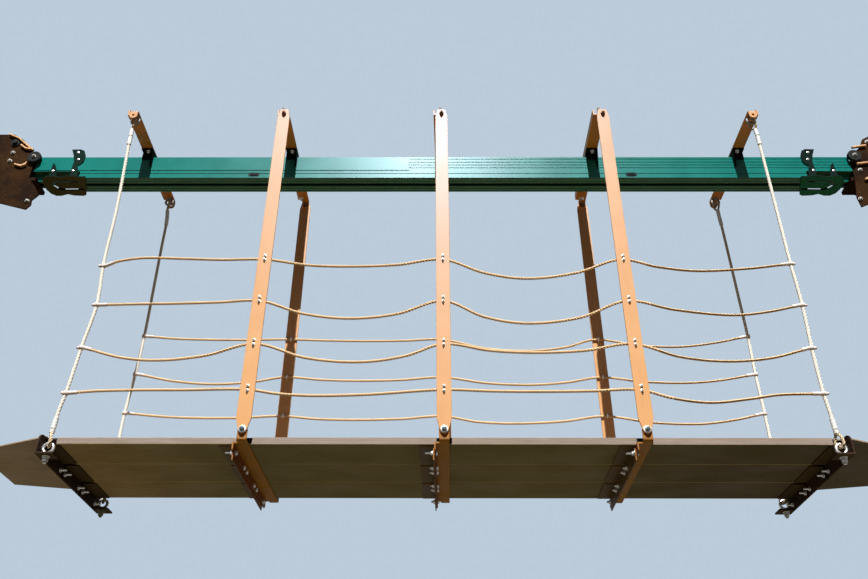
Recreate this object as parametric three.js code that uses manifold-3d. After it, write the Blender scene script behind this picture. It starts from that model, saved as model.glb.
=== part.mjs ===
// Rope suspension footbridge: a track beam carries five cross arms. Six flat hangers and four end
// ropes hang from the arms and hold a plank deck between rope sides.
// Millimetres, +Z up. The origin lies in the mounting face of the left beam end bracket.
import * as THREE from "three";
import { mergeVertices } from "three/addons/utils/BufferGeometryUtils.js";
import Module from "manifold-3d";

const wasm = await Module();
wasm.setup();

// Driving dimensions
const FIT_GAP = 0.3;
const BRACKET_DEPTH = 340;
const BEAM_HALF_LENGTH = 2720;
const CENTRE_X = BRACKET_DEPTH + BEAM_HALF_LENGTH;
const MIDDLE_SPACING = 1000;
const END_STATION = 1968;
const STATIONS = [-END_STATION, -MIDDLE_SPACING, 0, MIDDLE_SPACING, END_STATION];
// How far the near and the far end of each arm and crossmember stand from its station, along X
const ARM_ENDS = [[0, 0], [-7, 8], [-8, 14], [13.5, 16], [0, 0]];
const CROSSMEMBER_ENDS = [[0, 0], [1.5, 16], [2, 14], [5, 15], [0, 0]];

const BEAM_HALF_WIDTH = 72.5;
const BEAM_HALF_HEIGHT = 90;
const BEAM_RIB = 2.5;
const BOX_BOTTOM = -34;
const COVER_THICKNESS = 3;
const COVER_INNER_END = -223;
const FLANK = BEAM_HALF_WIDTH + COVER_THICKNESS + FIT_GAP;

const RAIL_WALL = 8;
const RAIL_WEB = 6;
const SLOT_HALF_WIDTH = 15;
const RAIL_HALF_LENGTH = 2410;
const END_RAIL_HALF_WIDTH = 35;
const END_RAIL_START = 2650;
const END_RAIL_END = 2752;
const LOOP_THICKNESS = 8;

const ARM_WIDTH = 76;
const ARM_THICKNESS = 8;
const ARM_UNDERSIDE = 130;
const ARM_LEG = 51;
const TONGUE_HALF_WIDTH = 25;
const TAB_FACE_Y = 460;
const TAB_HOLE_Z = 100;
const SHOULDER_SETBACK = 31;
const BOLT_HOLE_RADIUS = 9;
const ARM_BACK = ARM_WIDTH - TONGUE_HALF_WIDTH;
const TONGUE_END_Y = TAB_FACE_Y - FIT_GAP;
const SHOULDER_Y = TONGUE_END_Y - SHOULDER_SETBACK;

const HANGER_WIDTH = 76;
const HANGER_THICKNESS = 9.5;
const HANGER_TOP_Z = 138;
const HANGER_BOTTOM_Z = -2082;
const HANGER_TAPER_Z = -2000;
const LOWER_BOLT_Z = -2059;

const DECK_TOP_Z = -2070;
const DECK_THICKNESS = 38;
const DECK_BOTTOM_Z = DECK_TOP_Z - DECK_THICKNESS;
const DECK_HALF_LENGTH = 1940;
const PLANK_WIDTH = 261;
const PLANK_PITCH = 263;
const PLANK_END_GAP = 37.5;
const PLANK_LIP_END = -10;
const PLANK_LIP_THICKNESS = 5;
const PLANK_ROWS = 3;
const CLIP_LEG = 76;
const CLIP_THICKNESS = 6;
const CLIP_HALF_LENGTH = 118;

const END_LEG_OUTER = 2005;
const END_LEG_THICKNESS = 8;
const END_LEG_BOTTOM = -2180;
const END_LEG_HALF_LENGTH = 455;
const EYE_TAB_INNER = 1915;
const EYE_TAB_LENGTH = 82;

const APPROACH_OUTER = 2440;
const APPROACH_INNER = 1925;
const APPROACH_THICKNESS = 8;
const APPROACH_HALF_WIDTH = 389;
const APPROACH_NECK = 360;

const EYE_RADIUS = 25;
const EYE_TUBE = 7.5;
const TOP_EYE_Z = 94;
const BOTTOM_EYE_Z = -2137;
const BOTTOM_EYE_X = 1963;

const END_ROPE_Y = 410;
const END_ROPE_RADIUS = 9;
const END_ROPE_STEPS = 16;
const LOOP_STRAND_RADIUS = 8;
const LOOP_YAW = 28;
const FERRULE_RADIUS = 13;
const SIDE_ROPE_RADIUS = 8;
const SIDE_ROPE_Y = TAB_FACE_Y - SIDE_ROPE_RADIUS - FIT_GAP;
const COLLAR_BORE = 9.6;
const COLLAR_RADIUS = 15;
const COLLAR_HEIGHT = 18;
const SLEEVE_RADIUS = 10;
const SLEEVE_LENGTH = 50;

// Colours
const paint = (name, r, g, b, roughness, metalness) => {
  const material = new THREE.MeshStandardMaterial({ roughness, metalness });
  material.color.setRGB(r, g, b, THREE.SRGBColorSpace);
  material.name = name;
  return material;
};
const GREEN = paint("green_paint", 0.1, 0.56, 0.49, 0.45, 0.1);
const ORANGE = paint("orange_paint", 0.95, 0.7, 0.46, 0.5, 0.05);
const BROWN = paint("brown_paint", 0.38, 0.25, 0.16, 0.6, 0.1);
const PLANK = paint("plank_board", 0.62, 0.56, 0.5, 0.75, 0);
const TAN_ROPE = paint("tan_rope", 0.83, 0.69, 0.5, 0.9, 0);
const CREAM_ROPE = paint("cream_rope", 0.96, 0.93, 0.86, 0.85, 0);
const RUBBER = paint("black_rubber", 0.06, 0.07, 0.07, 0.7, 0);

// Solid helpers
function solidFrom(vertProperties, triVerts) {
  return new wasm.Manifold(new wasm.Mesh({ numProp: 3, vertProperties, triVerts }));
}

function solidOf(geometry) {
  const g = geometry.index ? geometry.toNonIndexed() : geometry.clone();
  g.deleteAttribute("normal");
  g.deleteAttribute("uv");
  const merged = mergeVertices(g, 1e-3);
  const corners = merged.attributes.position.array;
  const faces = new Uint32Array(merged.index.array);
  const made = solidFrom(corners, faces);
  if (made.volume() >= 0) return made;
  for (let i = 0; i < faces.length; i += 3) {
    const keep = faces[i];
    faces[i] = faces[i + 1];
    faces[i + 1] = keep;
  }
  return solidFrom(corners, faces);
}

function join(...solids) {
  return solids.reduce((a, b) => a.add(b));
}

const group = new THREE.Group();
group.name = "rope_suspension_footbridge";

function place(name, solid, material) {
  const m = solid.getMesh();
  const positions = new Float32Array(m.numVert * 3);
  for (let i = 0; i < m.numVert; i++) {
    for (let k = 0; k < 3; k++) {
      positions[i * 3 + k] = m.vertProperties[i * m.numProp + k];
    }
  }
  const geometry = new THREE.BufferGeometry();
  geometry.setAttribute("position", new THREE.BufferAttribute(positions, 3));
  geometry.setIndex(new THREE.BufferAttribute(new Uint32Array(m.triVerts), 1));
  geometry.computeVertexNormals();
  const mesh = new THREE.Mesh(geometry, material);
  mesh.name = name;
  group.add(mesh);
}

function block(xa, xb, ya, yb, za, zb) {
  const g = new THREE.BoxGeometry(Math.abs(xb - xa), Math.abs(yb - ya), Math.abs(zb - za));
  g.translate((xa + xb) / 2, (ya + yb) / 2, (za + zb) / 2);
  return solidOf(g);
}

function outline(points, holes = []) {
  const corners = points.map(([u, v]) => new THREE.Vector2(u, v));
  if (THREE.ShapeUtils.area(corners) < 0) corners.reverse();
  const shape = new THREE.Shape(corners);
  for (const hole of holes) {
    shape.holes.push(new THREE.Path(hole.map(([u, v]) => new THREE.Vector2(u, v))));
  }
  return shape;
}

function extruded(points, depth, holes) {
  return new THREE.ExtrudeGeometry(outline(points, holes), { depth, bevelEnabled: false });
}

// Prism whose outline is given in (Y, Z), between two X values.
function prismX(points, xa, xb, holes) {
  const low = Math.min(xa, xb);
  const g = extruded(points, Math.abs(xb - xa), holes);
  const turn = new THREE.Matrix4().set(0, 0, 1, low, 1, 0, 0, 0, 0, 1, 0, 0, 0, 0, 0, 1);
  return solidOf(g.applyMatrix4(turn));
}

// Prism whose outline is given in (X, Z), between two Y values.
function prismY(points, ya, yb, holes) {
  const high = Math.max(ya, yb);
  const g = extruded(points, Math.abs(yb - ya), holes);
  const turn = new THREE.Matrix4().set(1, 0, 0, 0, 0, 0, -1, high, 0, 1, 0, 0, 0, 0, 0, 1);
  return solidOf(g.applyMatrix4(turn));
}

// Prism whose outline is given in (X, Y), between two Z values.
function prismZ(points, za, zb, holes) {
  return solidOf(extruded(points, zb - za, holes).translate(0, 0, za));
}

function circle(u, v, radius, sides, start = 0) {
  const points = [];
  for (let i = 0; i < sides; i++) {
    const a = start + (2 * Math.PI * i) / sides;
    points.push([u + radius * Math.cos(a), v + radius * Math.sin(a)]);
  }
  return points;
}

function arc(u, v, radius, from, to, steps) {
  const points = [];
  for (let i = 0; i <= steps; i++) {
    const a = THREE.MathUtils.degToRad(from + ((to - from) * i) / steps);
    points.push([u + radius * Math.cos(a), v + radius * Math.sin(a)]);
  }
  return points;
}

function smoothPath(points) {
  return new THREE.CatmullRomCurve3(
    points.map((p) => new THREE.Vector3(...p)),
    false,
    "centripetal",
  );
}

// Round bar along a smooth curve.
function roundBar(curve, radius, sides, steps) {
  const section = outline(circle(0, 0, radius, sides, Math.PI / sides));
  const g = new THREE.ExtrudeGeometry(section, {
    steps,
    extrudePath: curve,
    bevelEnabled: false,
  });
  return solidOf(g);
}

// Straight round bar between two points.
function straightBar(from, to, radius, sides) {
  const line = new THREE.LineCurve3(new THREE.Vector3(...from), new THREE.Vector3(...to));
  return roundBar(line, radius, sides, 1);
}

// Ring whose axis lies along Y.
function eyeRing(x, y, z) {
  const g = new THREE.TorusGeometry(EYE_RADIUS, EYE_TUBE, 8, 12);
  return solidOf(g.rotateX(Math.PI / 2).translate(x, y, z));
}

function rod(x, y, za, zb, radius, sides = 12) {
  return prismZ(circle(x, y, radius, sides), za, zb);
}

// The solid with its near end moved along X by the first of ends, and its far end by the second.
function skewed(solid, [near, far]) {
  const slope = (far - near) / (2 * TONGUE_END_Y);
  return solid.transform([1, 0, 0, 0, slope, 1, 0, 0, 0, 0, 1, 0, (near + far) / 2, 0, 0, 1]);
}

const mirrorV = (points) => points.map(([u, v]) => [-u, v]).reverse();

// Track beam: a ribbed box with a cover strip on its near face. Its capped ends make it solid here.
function trackBeam() {
  const w = BEAM_HALF_WIDTH;
  const side = [];
  for (const z of [72, 45, 20, -5]) {
    side.push([w, z + 3], [w - BEAM_RIB, z + 2], [w - BEAM_RIB, z - 2], [w, z - 3]);
  }
  const half = [[0, BEAM_HALF_HEIGHT], [w, BEAM_HALF_HEIGHT], ...side, [w, BOX_BOTTOM], [0, BOX_BOTTOM]];
  const section = [...half, ...mirrorV(half).slice(1, -1)];
  const start = CENTRE_X - BEAM_HALF_LENGTH;
  const box = prismX(section, start, CENTRE_X + BEAM_HALF_LENGTH);
  const cover = block(start + 6, CENTRE_X + COVER_INNER_END, -w - COVER_THICKNESS, -w + 1, -26, 86);
  return box.add(cover);
}

// Running rail: a slotted channel under the beam, with two oval slots in each wall.
function runningRail() {
  const w = BEAM_HALF_WIDTH;
  const top = BOX_BOTTOM - FIT_GAP;
  const bottom = -BEAM_HALF_HEIGHT;
  const lip = [
    [SLOT_HALF_WIDTH, bottom + 12],
    [SLOT_HALF_WIDTH, bottom],
    [31, bottom],
    [33, bottom + 4],
    [38, bottom + 4],
    [40, bottom],
    [56, bottom],
    [58, bottom + 4],
    [63, bottom + 4],
    [65, bottom],
    [w, bottom],
  ];
  const groove = [[w, -57], [w - BEAM_RIB, -56], [w - BEAM_RIB, -52], [w, -51]];
  const outer = [...lip, ...groove, [w, top]];
  const inner = [[w - RAIL_WALL, bottom + 12], [w - RAIL_WALL, top - RAIL_WEB]];
  const section = [...outer, ...mirrorV(outer), ...mirrorV(inner).reverse(), ...inner.slice().reverse()];
  let body = prismX(section, CENTRE_X - RAIL_HALF_LENGTH, CENTRE_X + RAIL_HALF_LENGTH);
  for (const x of [-1250, 1250]) {
    const slot = [
      ...arc(CENTRE_X + x + 22, -68, 6, -90, 90, 6),
      ...arc(CENTRE_X + x - 22, -68, 6, 90, 270, 6),
    ];
    body = body.subtract(prismY(slot, -w - 4, -w + 12));
    body = body.subtract(prismY(slot, w - 12, w + 4));
  }
  return body;
}

// Narrow rail that carries on from the bypass loop past the beam's end.
function endRail(sx) {
  const top = BOX_BOTTOM - FIT_GAP;
  const r = END_RAIL_HALF_WIDTH;
  const outer = [[SLOT_HALF_WIDTH, -82], [SLOT_HALF_WIDTH, -90], [r, -90], [r, top]];
  const inner = [[r - 7, -82], [r - 7, top - RAIL_WEB]];
  const section = [...outer, ...mirrorV(outer), ...mirrorV(inner).reverse(), ...inner.slice().reverse()];
  return prismX(section, CENTRE_X + sx * END_RAIL_START, CENTRE_X + sx * END_RAIL_END);
}

// Bypass loop: a slotted plate under the rail's end, hung from gussets and eared plates beside it.
function bypassLoop(sx) {
  const at = (points) => points.map(([d, v]) => [CENTRE_X + sx * d, v]);
  const edge = [
    [2345, -88],
    [2403, -88],
    [2430, -98],
    [2476, -98],
    [2527, -86],
    [2570, -95],
    [2621, -93],
    [2648, -70],
    [2662, -30],
    [2665, 38],
    [2650, 82],
    [2622, 105],
    [2585, 105],
    [2537, 88],
    [2502, 101],
    [2435, 106],
    [2403, 88],
    [2345, 88],
  ];
  const opening = [
    [2412, -50],
    [2545, -54],
    [2590, -44],
    [2614, -4],
    [2586, 34],
    [2550, 47],
    [2404, 43],
    [2404, 27],
    [2543, 30],
    [2572, 18],
    [2590, -3],
    [2572, -27],
    [2540, -37],
    [2412, -34],
  ];
  const top = -BEAM_HALF_HEIGHT - FIT_GAP;
  let body = prismZ(at(edge), top - LOOP_THICKNESS, top, [at(opening)]);
  const gusset = [
    [2559, top - 2],
    [2559, -61],
    [2586, 14],
    [2603, 34],
    [2607, -61],
    [2607, top - 2],
  ];
  const ear = [
    [2418, top - 2],
    [2418, -66],
    [2438, 16],
    [2422, 22],
    [2404, 50],
    [2402, 96],
    [2420, 140],
    [2446, 154],
    [2506, 152],
    [2484, 99],
    [2468, 40],
    [2472, -20],
    [2470, top - 2],
  ];
  const earHoles = [circle(2459, 124, 6, 8), circle(2443, 62, 6, 8), circle(2457, -36, 6, 8)];
  for (const sy of [-1, 1]) {
    const face = sy * FLANK;
    const outside = sy * (FLANK + 6);
    body = join(
      body,
      prismY(at(gusset), face, outside, [at(circle(2590, -38, 7, 8))]),
      prismY(at(ear), face, outside, earHoles.map(at)),
    );
  }
  return body;
}

// Axle of the end stops, as [distance from the centre, z].
const STOP_AXLE = { left: [2732, 66], right: [2748, 76] };

// Near cheeks of the end brackets, as [distance from the centre, z]. The lower lugs differ.
const NEAR_CHEEK = {
  left: [
    [3052, 286],
    [2929, 286],
    [2854, 235],
    [2793, 162],
    [2728, 98],
    [2702, 66],
    [2726, 32],
    [2733, 10],
    [2729, -104],
    [2670, -179],
    [2630, -245],
    [2664, -290],
    [2659, -330],
    [2686, -365],
    [2861, -315],
    [3052, -315],
  ],
  right: [
    [3052, 286],
    [2929, 280],
    [2852, 238],
    [2835, 204],
    [2800, 150],
    [2746, 108],
    [2718, 76],
    [2746, 44],
    [2762, 8],
    [2715, -40],
    [2707, -125],
    [2692, -208],
    [2681, -265],
    [2691, -346],
    [2735, -327],
    [3052, -300],
  ],
};

// End bracket that carries one beam end between two cheeks; its outer face is the mounting face.
function endBracket(side, sx) {
  const at = (points) => points.map(([d, v]) => [CENTRE_X + sx * d, v]);
  const x = (d) => CENTRE_X + sx * d;
  const face = CENTRE_X;
  const [axleD, axleZ] = STOP_AXLE[side];
  const farCheek = [
    [face - 8, 270],
    [2935, 270],
    [2860, 236],
    [2812, 165],
    [axleD, axleZ + 32],
    [axleD - 28, axleZ],
    [axleD, axleZ - 32],
    [2768, -20],
    [2768, -104],
    [2860, -150],
    [face - 8, -150],
  ];
  const holed = [at(circle(axleD, axleZ, 9, 12))];
  const inner = BEAM_HALF_LENGTH + FIT_GAP;
  return join(
    block(x(face), x(face - 14), -130, 130, -330, 290),
    block(x(face - 10), x(inner), -66, 66, -30, 50),
    block(x(face - 10), x(2690), -FLANK - 1, FLANK + 1, -116, -BEAM_HALF_HEIGHT - FIT_GAP),
    prismY(at(NEAR_CHEEK[side]), -FLANK - 10, -FLANK, holed),
    prismY(at(farCheek), FLANK, FLANK + 10, holed),
  );
}

// Rubber end stop: two discs outside the bracket's cheeks, on one axle.
function endStop(side, sx) {
  const [axleD, z] = STOP_AXLE[side];
  const x = CENTRE_X + sx * axleD;
  const inside = FLANK + 10 + FIT_GAP;
  const disc = circle(x, z, 44, 16);
  return join(
    prismY(circle(x, z, 8.6, 12), -inside - 4, inside + 4),
    prismY(disc, -inside - 24, -inside),
    prismY(disc, inside, inside + 24),
  );
}

// Eye bolt through a plate: ring, shank and nuts; way is 1 where the ring is above the plate.
function eyeBolt(x, y, ringZ, plateBottom, plateTop, way) {
  const near = way > 0 ? plateTop : plateBottom;
  const far = way > 0 ? plateBottom : plateTop;
  const span = (a, b, radius, sides) =>
    prismZ(circle(x, y, radius, sides), Math.min(a, b), Math.max(a, b));
  const shankStart = ringZ - way * (EYE_RADIUS + 2);
  return join(
    eyeRing(x, y, ringZ),
    span(shankStart, far - way * 36, 8, 8),
    span(shankStart, near - way, 13, 8),
    span(far + way, far - way * 14, 14, 6),
    span(far - way * 15, far - way * 27, 13, 6),
  );
}

// Cross arm of bent angle section, with a turned-down holed tab at both ends.
function crossArm(index) {
  const sx = index === 4 ? -1 : 1;
  const cx = CENTRE_X + STATIONS[index];
  const t = ARM_THICKNESS;
  const z = ARM_UNDERSIDE;
  const x = (a) => cx + sx * a;
  const cornerRadius = 18;
  const flange = block(x(-ARM_BACK), x(TONGUE_HALF_WIDTH), -SHOULDER_Y, SHOULDER_Y, z, z + t);
  const legTop = z + ARM_LEG;
  const leg = prismX(
    [
      [-SHOULDER_Y, z],
      [SHOULDER_Y, z],
      ...arc(SHOULDER_Y - cornerRadius, legTop - cornerRadius, cornerRadius, 0, 90, 4),
      ...arc(-SHOULDER_Y + cornerRadius, legTop - cornerRadius, cornerRadius, 90, 180, 4),
    ],
    x(-ARM_BACK),
    x(-ARM_BACK + t),
  );
  const bend = 14;
  const fillet = bend - t;
  const half = [
    [TONGUE_END_Y, TAB_HOLE_Z],
    ...arc(TONGUE_END_Y - bend, z + t - bend, bend, 0, 90, 4),
  ];
  const under = [
    ...arc(TONGUE_END_Y - t - fillet, z - fillet, fillet, 90, 0, 3),
    [TONGUE_END_Y - t, TAB_HOLE_Z],
  ];
  const strap = [...half, ...mirrorV(half), ...mirrorV(under), ...under];
  let body = join(flange, leg, prismX(strap, cx - TONGUE_HALF_WIDTH, cx + TONGUE_HALF_WIDTH));
  for (const sy of [-1, 1]) {
    const face = sy * TONGUE_END_Y;
    const cap = [
      ...arc(cx, TAB_HOLE_Z, TONGUE_HALF_WIDTH, 180, 360, 8),
      [cx + TONGUE_HALF_WIDTH, TAB_HOLE_Z + 4],
      [cx - TONGUE_HALF_WIDTH, TAB_HOLE_Z + 4],
    ];
    const hole = circle(cx, TAB_HOLE_Z, BOLT_HOLE_RADIUS, 10);
    body = body.add(prismY(cap, face, face - sy * t));
    body = body.subtract(prismY(hole, face + sy * 2, face - sy * (t + 2)));
    if (index === 0 || index === 4) {
      body = body.add(eyeBolt(cx, sy * END_ROPE_Y, TOP_EYE_Z, z, z + t, -1));
    }
  }
  return skewed(body, ARM_ENDS[index]);
}

// Saddle bracket that carries one cross arm on top of the beam.
function armSaddle(index) {
  const sx = index === 4 ? -1 : 1;
  const cx = CENTRE_X + STATIONS[index] + (ARM_ENDS[index][0] + ARM_ENDS[index][1]) / 2;
  const x = (a) => cx + sx * a;
  const back = -ARM_BACK;
  const front = TONGUE_HALF_WIDTH;
  const foot = BEAM_HALF_HEIGHT + FIT_GAP;
  const top = ARM_UNDERSIDE - FIT_GAP;
  const wall = 6;
  const t = 8;
  const reach = 120;
  let body = join(
    block(x(back), x(front), -reach, reach, top - t, top),
    block(x(back), x(front), -FLANK - wall, FLANK + wall, foot, foot + t),
    block(x(back), x(back + t), -FLANK - wall, FLANK + wall, foot + t - 1, top - t + 1),
    block(x(front - t), x(front), -FLANK - wall, FLANK + wall, foot + t - 1, top - t + 1),
  );
  for (const sy of [-1, 1]) {
    const gusset = [
      [sy * FLANK, top - 4],
      [sy * (reach - 6), top - 4],
      [sy * (reach - 6), top - 14],
      [sy * (FLANK + 8), 0],
      [sy * FLANK, 0],
    ];
    body = join(
      body,
      prismX(gusset, x(front - 12), x(front)),
      block(x(back), x(front), sy * FLANK, sy * (FLANK + wall), 66, foot + t),
    );
  }
  return body;
}

// Flat hanger bar between a cross arm and a deck crossmember, leaning as their ends stand.
function hanger(index, sy) {
  const cx = CENTRE_X + STATIONS[index];
  const w = HANGER_WIDTH / 2;
  const tipRadius = 21;
  const shoulderZ = HANGER_TOP_Z - 64;
  const points = [
    ...arc(cx, HANGER_BOTTOM_Z + tipRadius, tipRadius, 200, 340, 8),
    [cx + w, HANGER_TAPER_Z],
    [cx + w, shoulderZ],
    [cx + 25, HANGER_TOP_Z - 4],
    [cx + 21, HANGER_TOP_Z],
    [cx - 21, HANGER_TOP_Z],
    [cx - 25, HANGER_TOP_Z - 4],
    [cx - w, shoulderZ],
    [cx - w, HANGER_TAPER_Z],
  ];
  const holes = [
    circle(cx, TAB_HOLE_Z, BOLT_HOLE_RADIUS, 10),
    circle(cx, LOWER_BOLT_Z, BOLT_HOLE_RADIUS, 10),
  ];
  const bar = prismY(points, sy * TAB_FACE_Y, sy * (TAB_FACE_Y + HANGER_THICKNESS), holes);
  const end = sy < 0 ? 0 : 1;
  const foot = CROSSMEMBER_ENDS[index][end];
  const lean = (ARM_ENDS[index][end] - foot) / (TAB_HOLE_Z - LOWER_BOLT_Z);
  const shift = foot - lean * LOWER_BOLT_Z;
  return bar.transform([1, 0, 0, 0, 0, 1, 0, 0, lean, 0, 1, 0, shift, 0, 0, 1]);
}

// Clip angles, one for each plank row: a leg against the crossmember's face at x, and one under
// the plank's end; way points from that face to the plank.
function clipAngles(face, way) {
  const top = DECK_BOTTOM_Z - FIT_GAP;
  const clips = [];
  for (let row = 0; row < PLANK_ROWS; row++) {
    const y = (row - 1) * PLANK_PITCH;
    const low = y - CLIP_HALF_LENGTH;
    const high = y + CLIP_HALF_LENGTH;
    clips.push(block(face, face + way * CLIP_LEG, low, high, top - CLIP_THICKNESS, top));
    clips.push(block(face - way, face + way * CLIP_THICKNESS, low, high, top - CLIP_LEG, top));
  }
  return clips;
}

// Deck crossmember: bent angle with its flange under the planks, turned-up tabs and clip angles.
function deckCrossmember(index) {
  const cx = CENTRE_X + STATIONS[index];
  const t = ARM_THICKNESS;
  const top = DECK_BOTTOM_Z - FIT_GAP;
  const legBottom = top - ARM_LEG;
  const cornerRadius = 18;
  const flange = block(cx - ARM_BACK, cx + TONGUE_HALF_WIDTH, -SHOULDER_Y, SHOULDER_Y, top - t, top);
  const leg = prismX(
    [
      [SHOULDER_Y, top],
      [-SHOULDER_Y, top],
      ...arc(-SHOULDER_Y + cornerRadius, legBottom + cornerRadius, cornerRadius, 180, 270, 4),
      ...arc(SHOULDER_Y - cornerRadius, legBottom + cornerRadius, cornerRadius, 270, 360, 4),
    ],
    cx - ARM_BACK,
    cx - ARM_BACK + t,
  );
  const bend = 14;
  const fillet = bend - t;
  const half = [
    [TONGUE_END_Y, LOWER_BOLT_Z],
    ...arc(TONGUE_END_Y - bend, top - t + bend, bend, 360, 270, 4),
  ];
  const inside = [
    ...arc(TONGUE_END_Y - t - fillet, top + fillet, fillet, 270, 360, 3),
    [TONGUE_END_Y - t, LOWER_BOLT_Z],
  ];
  const strap = [...half, ...mirrorV(half), ...mirrorV(inside), ...inside];
  let body = join(
    flange,
    leg,
    prismX(strap, cx - TONGUE_HALF_WIDTH, cx + TONGUE_HALF_WIDTH),
    ...clipAngles(cx - ARM_BACK, -1),
  );
  for (const sy of [-1, 1]) {
    const face = sy * TONGUE_END_Y;
    const cap = [
      ...arc(cx, LOWER_BOLT_Z, TONGUE_HALF_WIDTH, 0, 180, 8),
      [cx - TONGUE_HALF_WIDTH, LOWER_BOLT_Z - 4],
      [cx + TONGUE_HALF_WIDTH, LOWER_BOLT_Z - 4],
    ];
    const hole = circle(cx, LOWER_BOLT_Z, BOLT_HOLE_RADIUS, 10);
    body = body.add(prismY(cap, face, face - sy * t));
    body = body.subtract(prismY(hole, face + sy * 2, face - sy * (t + 2)));
  }
  return skewed(body, CROSSMEMBER_ENDS[index]);
}

// End crossmember: an upright leg with rounded top corners, a turned-in tab with an eye bolt at
// both ends, and clip angles under the plank ends.
function endCrossmember(sx) {
  const x = (d) => CENTRE_X + sx * d;
  const half = END_LEG_HALF_LENGTH;
  const bottom = END_LEG_BOTTOM;
  const legTop = DECK_TOP_Z;
  const cornerRadius = 40;
  const leg = prismX(
    [
      [-half, bottom],
      [half, bottom],
      ...arc(half - cornerRadius, legTop - cornerRadius, cornerRadius, 0, 90, 5),
      ...arc(-half + cornerRadius, legTop - cornerRadius, cornerRadius, 90, 180, 5),
    ],
    x(END_LEG_OUTER),
    x(END_LEG_OUTER - END_LEG_THICKNESS),
  );
  let body = join(leg, ...clipAngles(x(END_LEG_OUTER - END_LEG_THICKNESS), -sx));
  for (const sy of [-1, 1]) {
    const tabTop = bottom + END_LEG_THICKNESS;
    const inner = sy * (half - EYE_TAB_LENGTH);
    body = join(
      body,
      block(x(END_LEG_OUTER), x(EYE_TAB_INNER), sy * half, inner, bottom, tabTop),
      eyeBolt(x(BOTTOM_EYE_X), sy * END_ROPE_Y, BOTTOM_EYE_Z, bottom, tabTop, 1),
    );
  }
  return body;
}

// Plank of one bay; its left end has a lip that lies on the crossmember.
function plank(bay, row) {
  const first = bay === 0;
  const last = bay === 3;
  const from = first ? -DECK_HALF_LENGTH : STATIONS[bay] + PLANK_END_GAP;
  const to = last ? DECK_HALF_LENGTH : STATIONS[bay + 1] - PLANK_END_GAP;
  const y = (row - 1) * PLANK_PITCH;
  const low = y - PLANK_WIDTH / 2;
  const high = y + PLANK_WIDTH / 2;
  const board = block(CENTRE_X + from, CENTRE_X + to, low, high, DECK_BOTTOM_Z, DECK_TOP_Z);
  if (first) return board;
  const lipStart = CENTRE_X + STATIONS[bay] + PLANK_LIP_END;
  const lipTop = DECK_BOTTOM_Z + PLANK_LIP_THICKNESS;
  return board.add(
    block(lipStart, CENTRE_X + from + 1, low, high, DECK_BOTTOM_Z, lipTop),
  );
}

// Routes of the end ropes, as [x from the centre, z], from the top ferrule to the bottom one.
const END_ROUTES = {
  near_left: [
    [-1977, 20],
    [-1976, -60],
    [-1975, -130],
    [-1965, -330],
    [-1950, -650],
    [-1930, -1021],
    [-1908, -1297],
    [-1930, -1566],
    [-1948, -1834],
    [-1961, -1940],
    [-1965, -2002],
  ],
  near_right: [
    [1980, 20],
    [1984, -60],
    [1981, -130],
    [1977, -400],
    [1972, -700],
    [1967, -1021],
    [1968, -1297],
    [1955, -1566],
    [1951, -1834],
    [1957, -1940],
    [1960, -2002],
  ],
  far_left: [
    [-1968, 20],
    [-1961, -30],
    [-1956, -80],
    [-1952, -300],
    [-1944, -650],
    [-1936, -1021],
    [-1940, -1297],
    [-1953, -1566],
    [-1952, -1834],
    [-1958, -1940],
    [-1962, -2002],
  ],
  far_right: [
    [1969, 20],
    [1970, -60],
    [1972, -130],
    [1974, -400],
    [1975, -700],
    [1976, -1021],
    [1969, -1297],
    [1970, -1566],
    [1966, -1834],
    [1964, -1940],
    [1963, -2002],
  ],
};

const sideOf = (key) => (key.startsWith("near") ? -1 : 1);

function endRopeCurve(key) {
  const y = sideOf(key) * END_ROPE_Y;
  return smoothPath(END_ROUTES[key].map(([x, z]) => [CENTRE_X + x, y, z]));
}

// Place and direction of an end rope at the height z, on the straight steps that it is made of.
function endRopeAt(key, z) {
  const steps = endRopeCurve(key).getSpacedPoints(END_ROPE_STEPS);
  let i = 0;
  while (i < END_ROPE_STEPS - 1 && steps[i + 1].z > z) i++;
  const along = steps[i + 1].clone().sub(steps[i]);
  const point = steps[i].clone().addScaledVector(along, (z - steps[i].z) / along.z);
  return { point, along: along.normalize() };
}

// Loop of rope hooked in an eye: from the ferrule at foot, round the ring's tube, and back.
// The places are [distance across, height past the tube]; way is 1 where the loop hangs down.
function hookedLoop(tube, foot, way) {
  const drop = Math.abs(tube.z - foot.z);
  const across = [
    [6, -drop - 10],
    [8, -drop + 4],
    [19, -drop * 0.55],
    [23.5, -8],
    [21.5, 6.5],
    [12, 15],
    [0, 15.9],
  ];
  const half = across.slice(0, -1).map(([s, z]) => [-s, z]);
  const places = [...half, ...across.slice().reverse()];
  const yaw = THREE.MathUtils.degToRad(LOOP_YAW);
  const points = places.map(([s, z]) => {
    const share = Math.max(0, -z) / drop;
    return [
      tube.x + (foot.x - tube.x) * share + s * Math.sin(yaw),
      tube.y + (foot.y - tube.y) * share - s * Math.cos(yaw),
      tube.z + way * z,
    ];
  });
  return roundBar(smoothPath(points), LOOP_STRAND_RADIUS, 8, 18);
}

// Ferrule pressed round an end rope between two heights.
function ferrule(key, za, zb) {
  const a = endRopeAt(key, za).point;
  const b = endRopeAt(key, zb).point;
  return straightBar([a.x, a.y, a.z], [b.x, b.y, b.z], FERRULE_RADIUS, 8);
}

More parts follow.
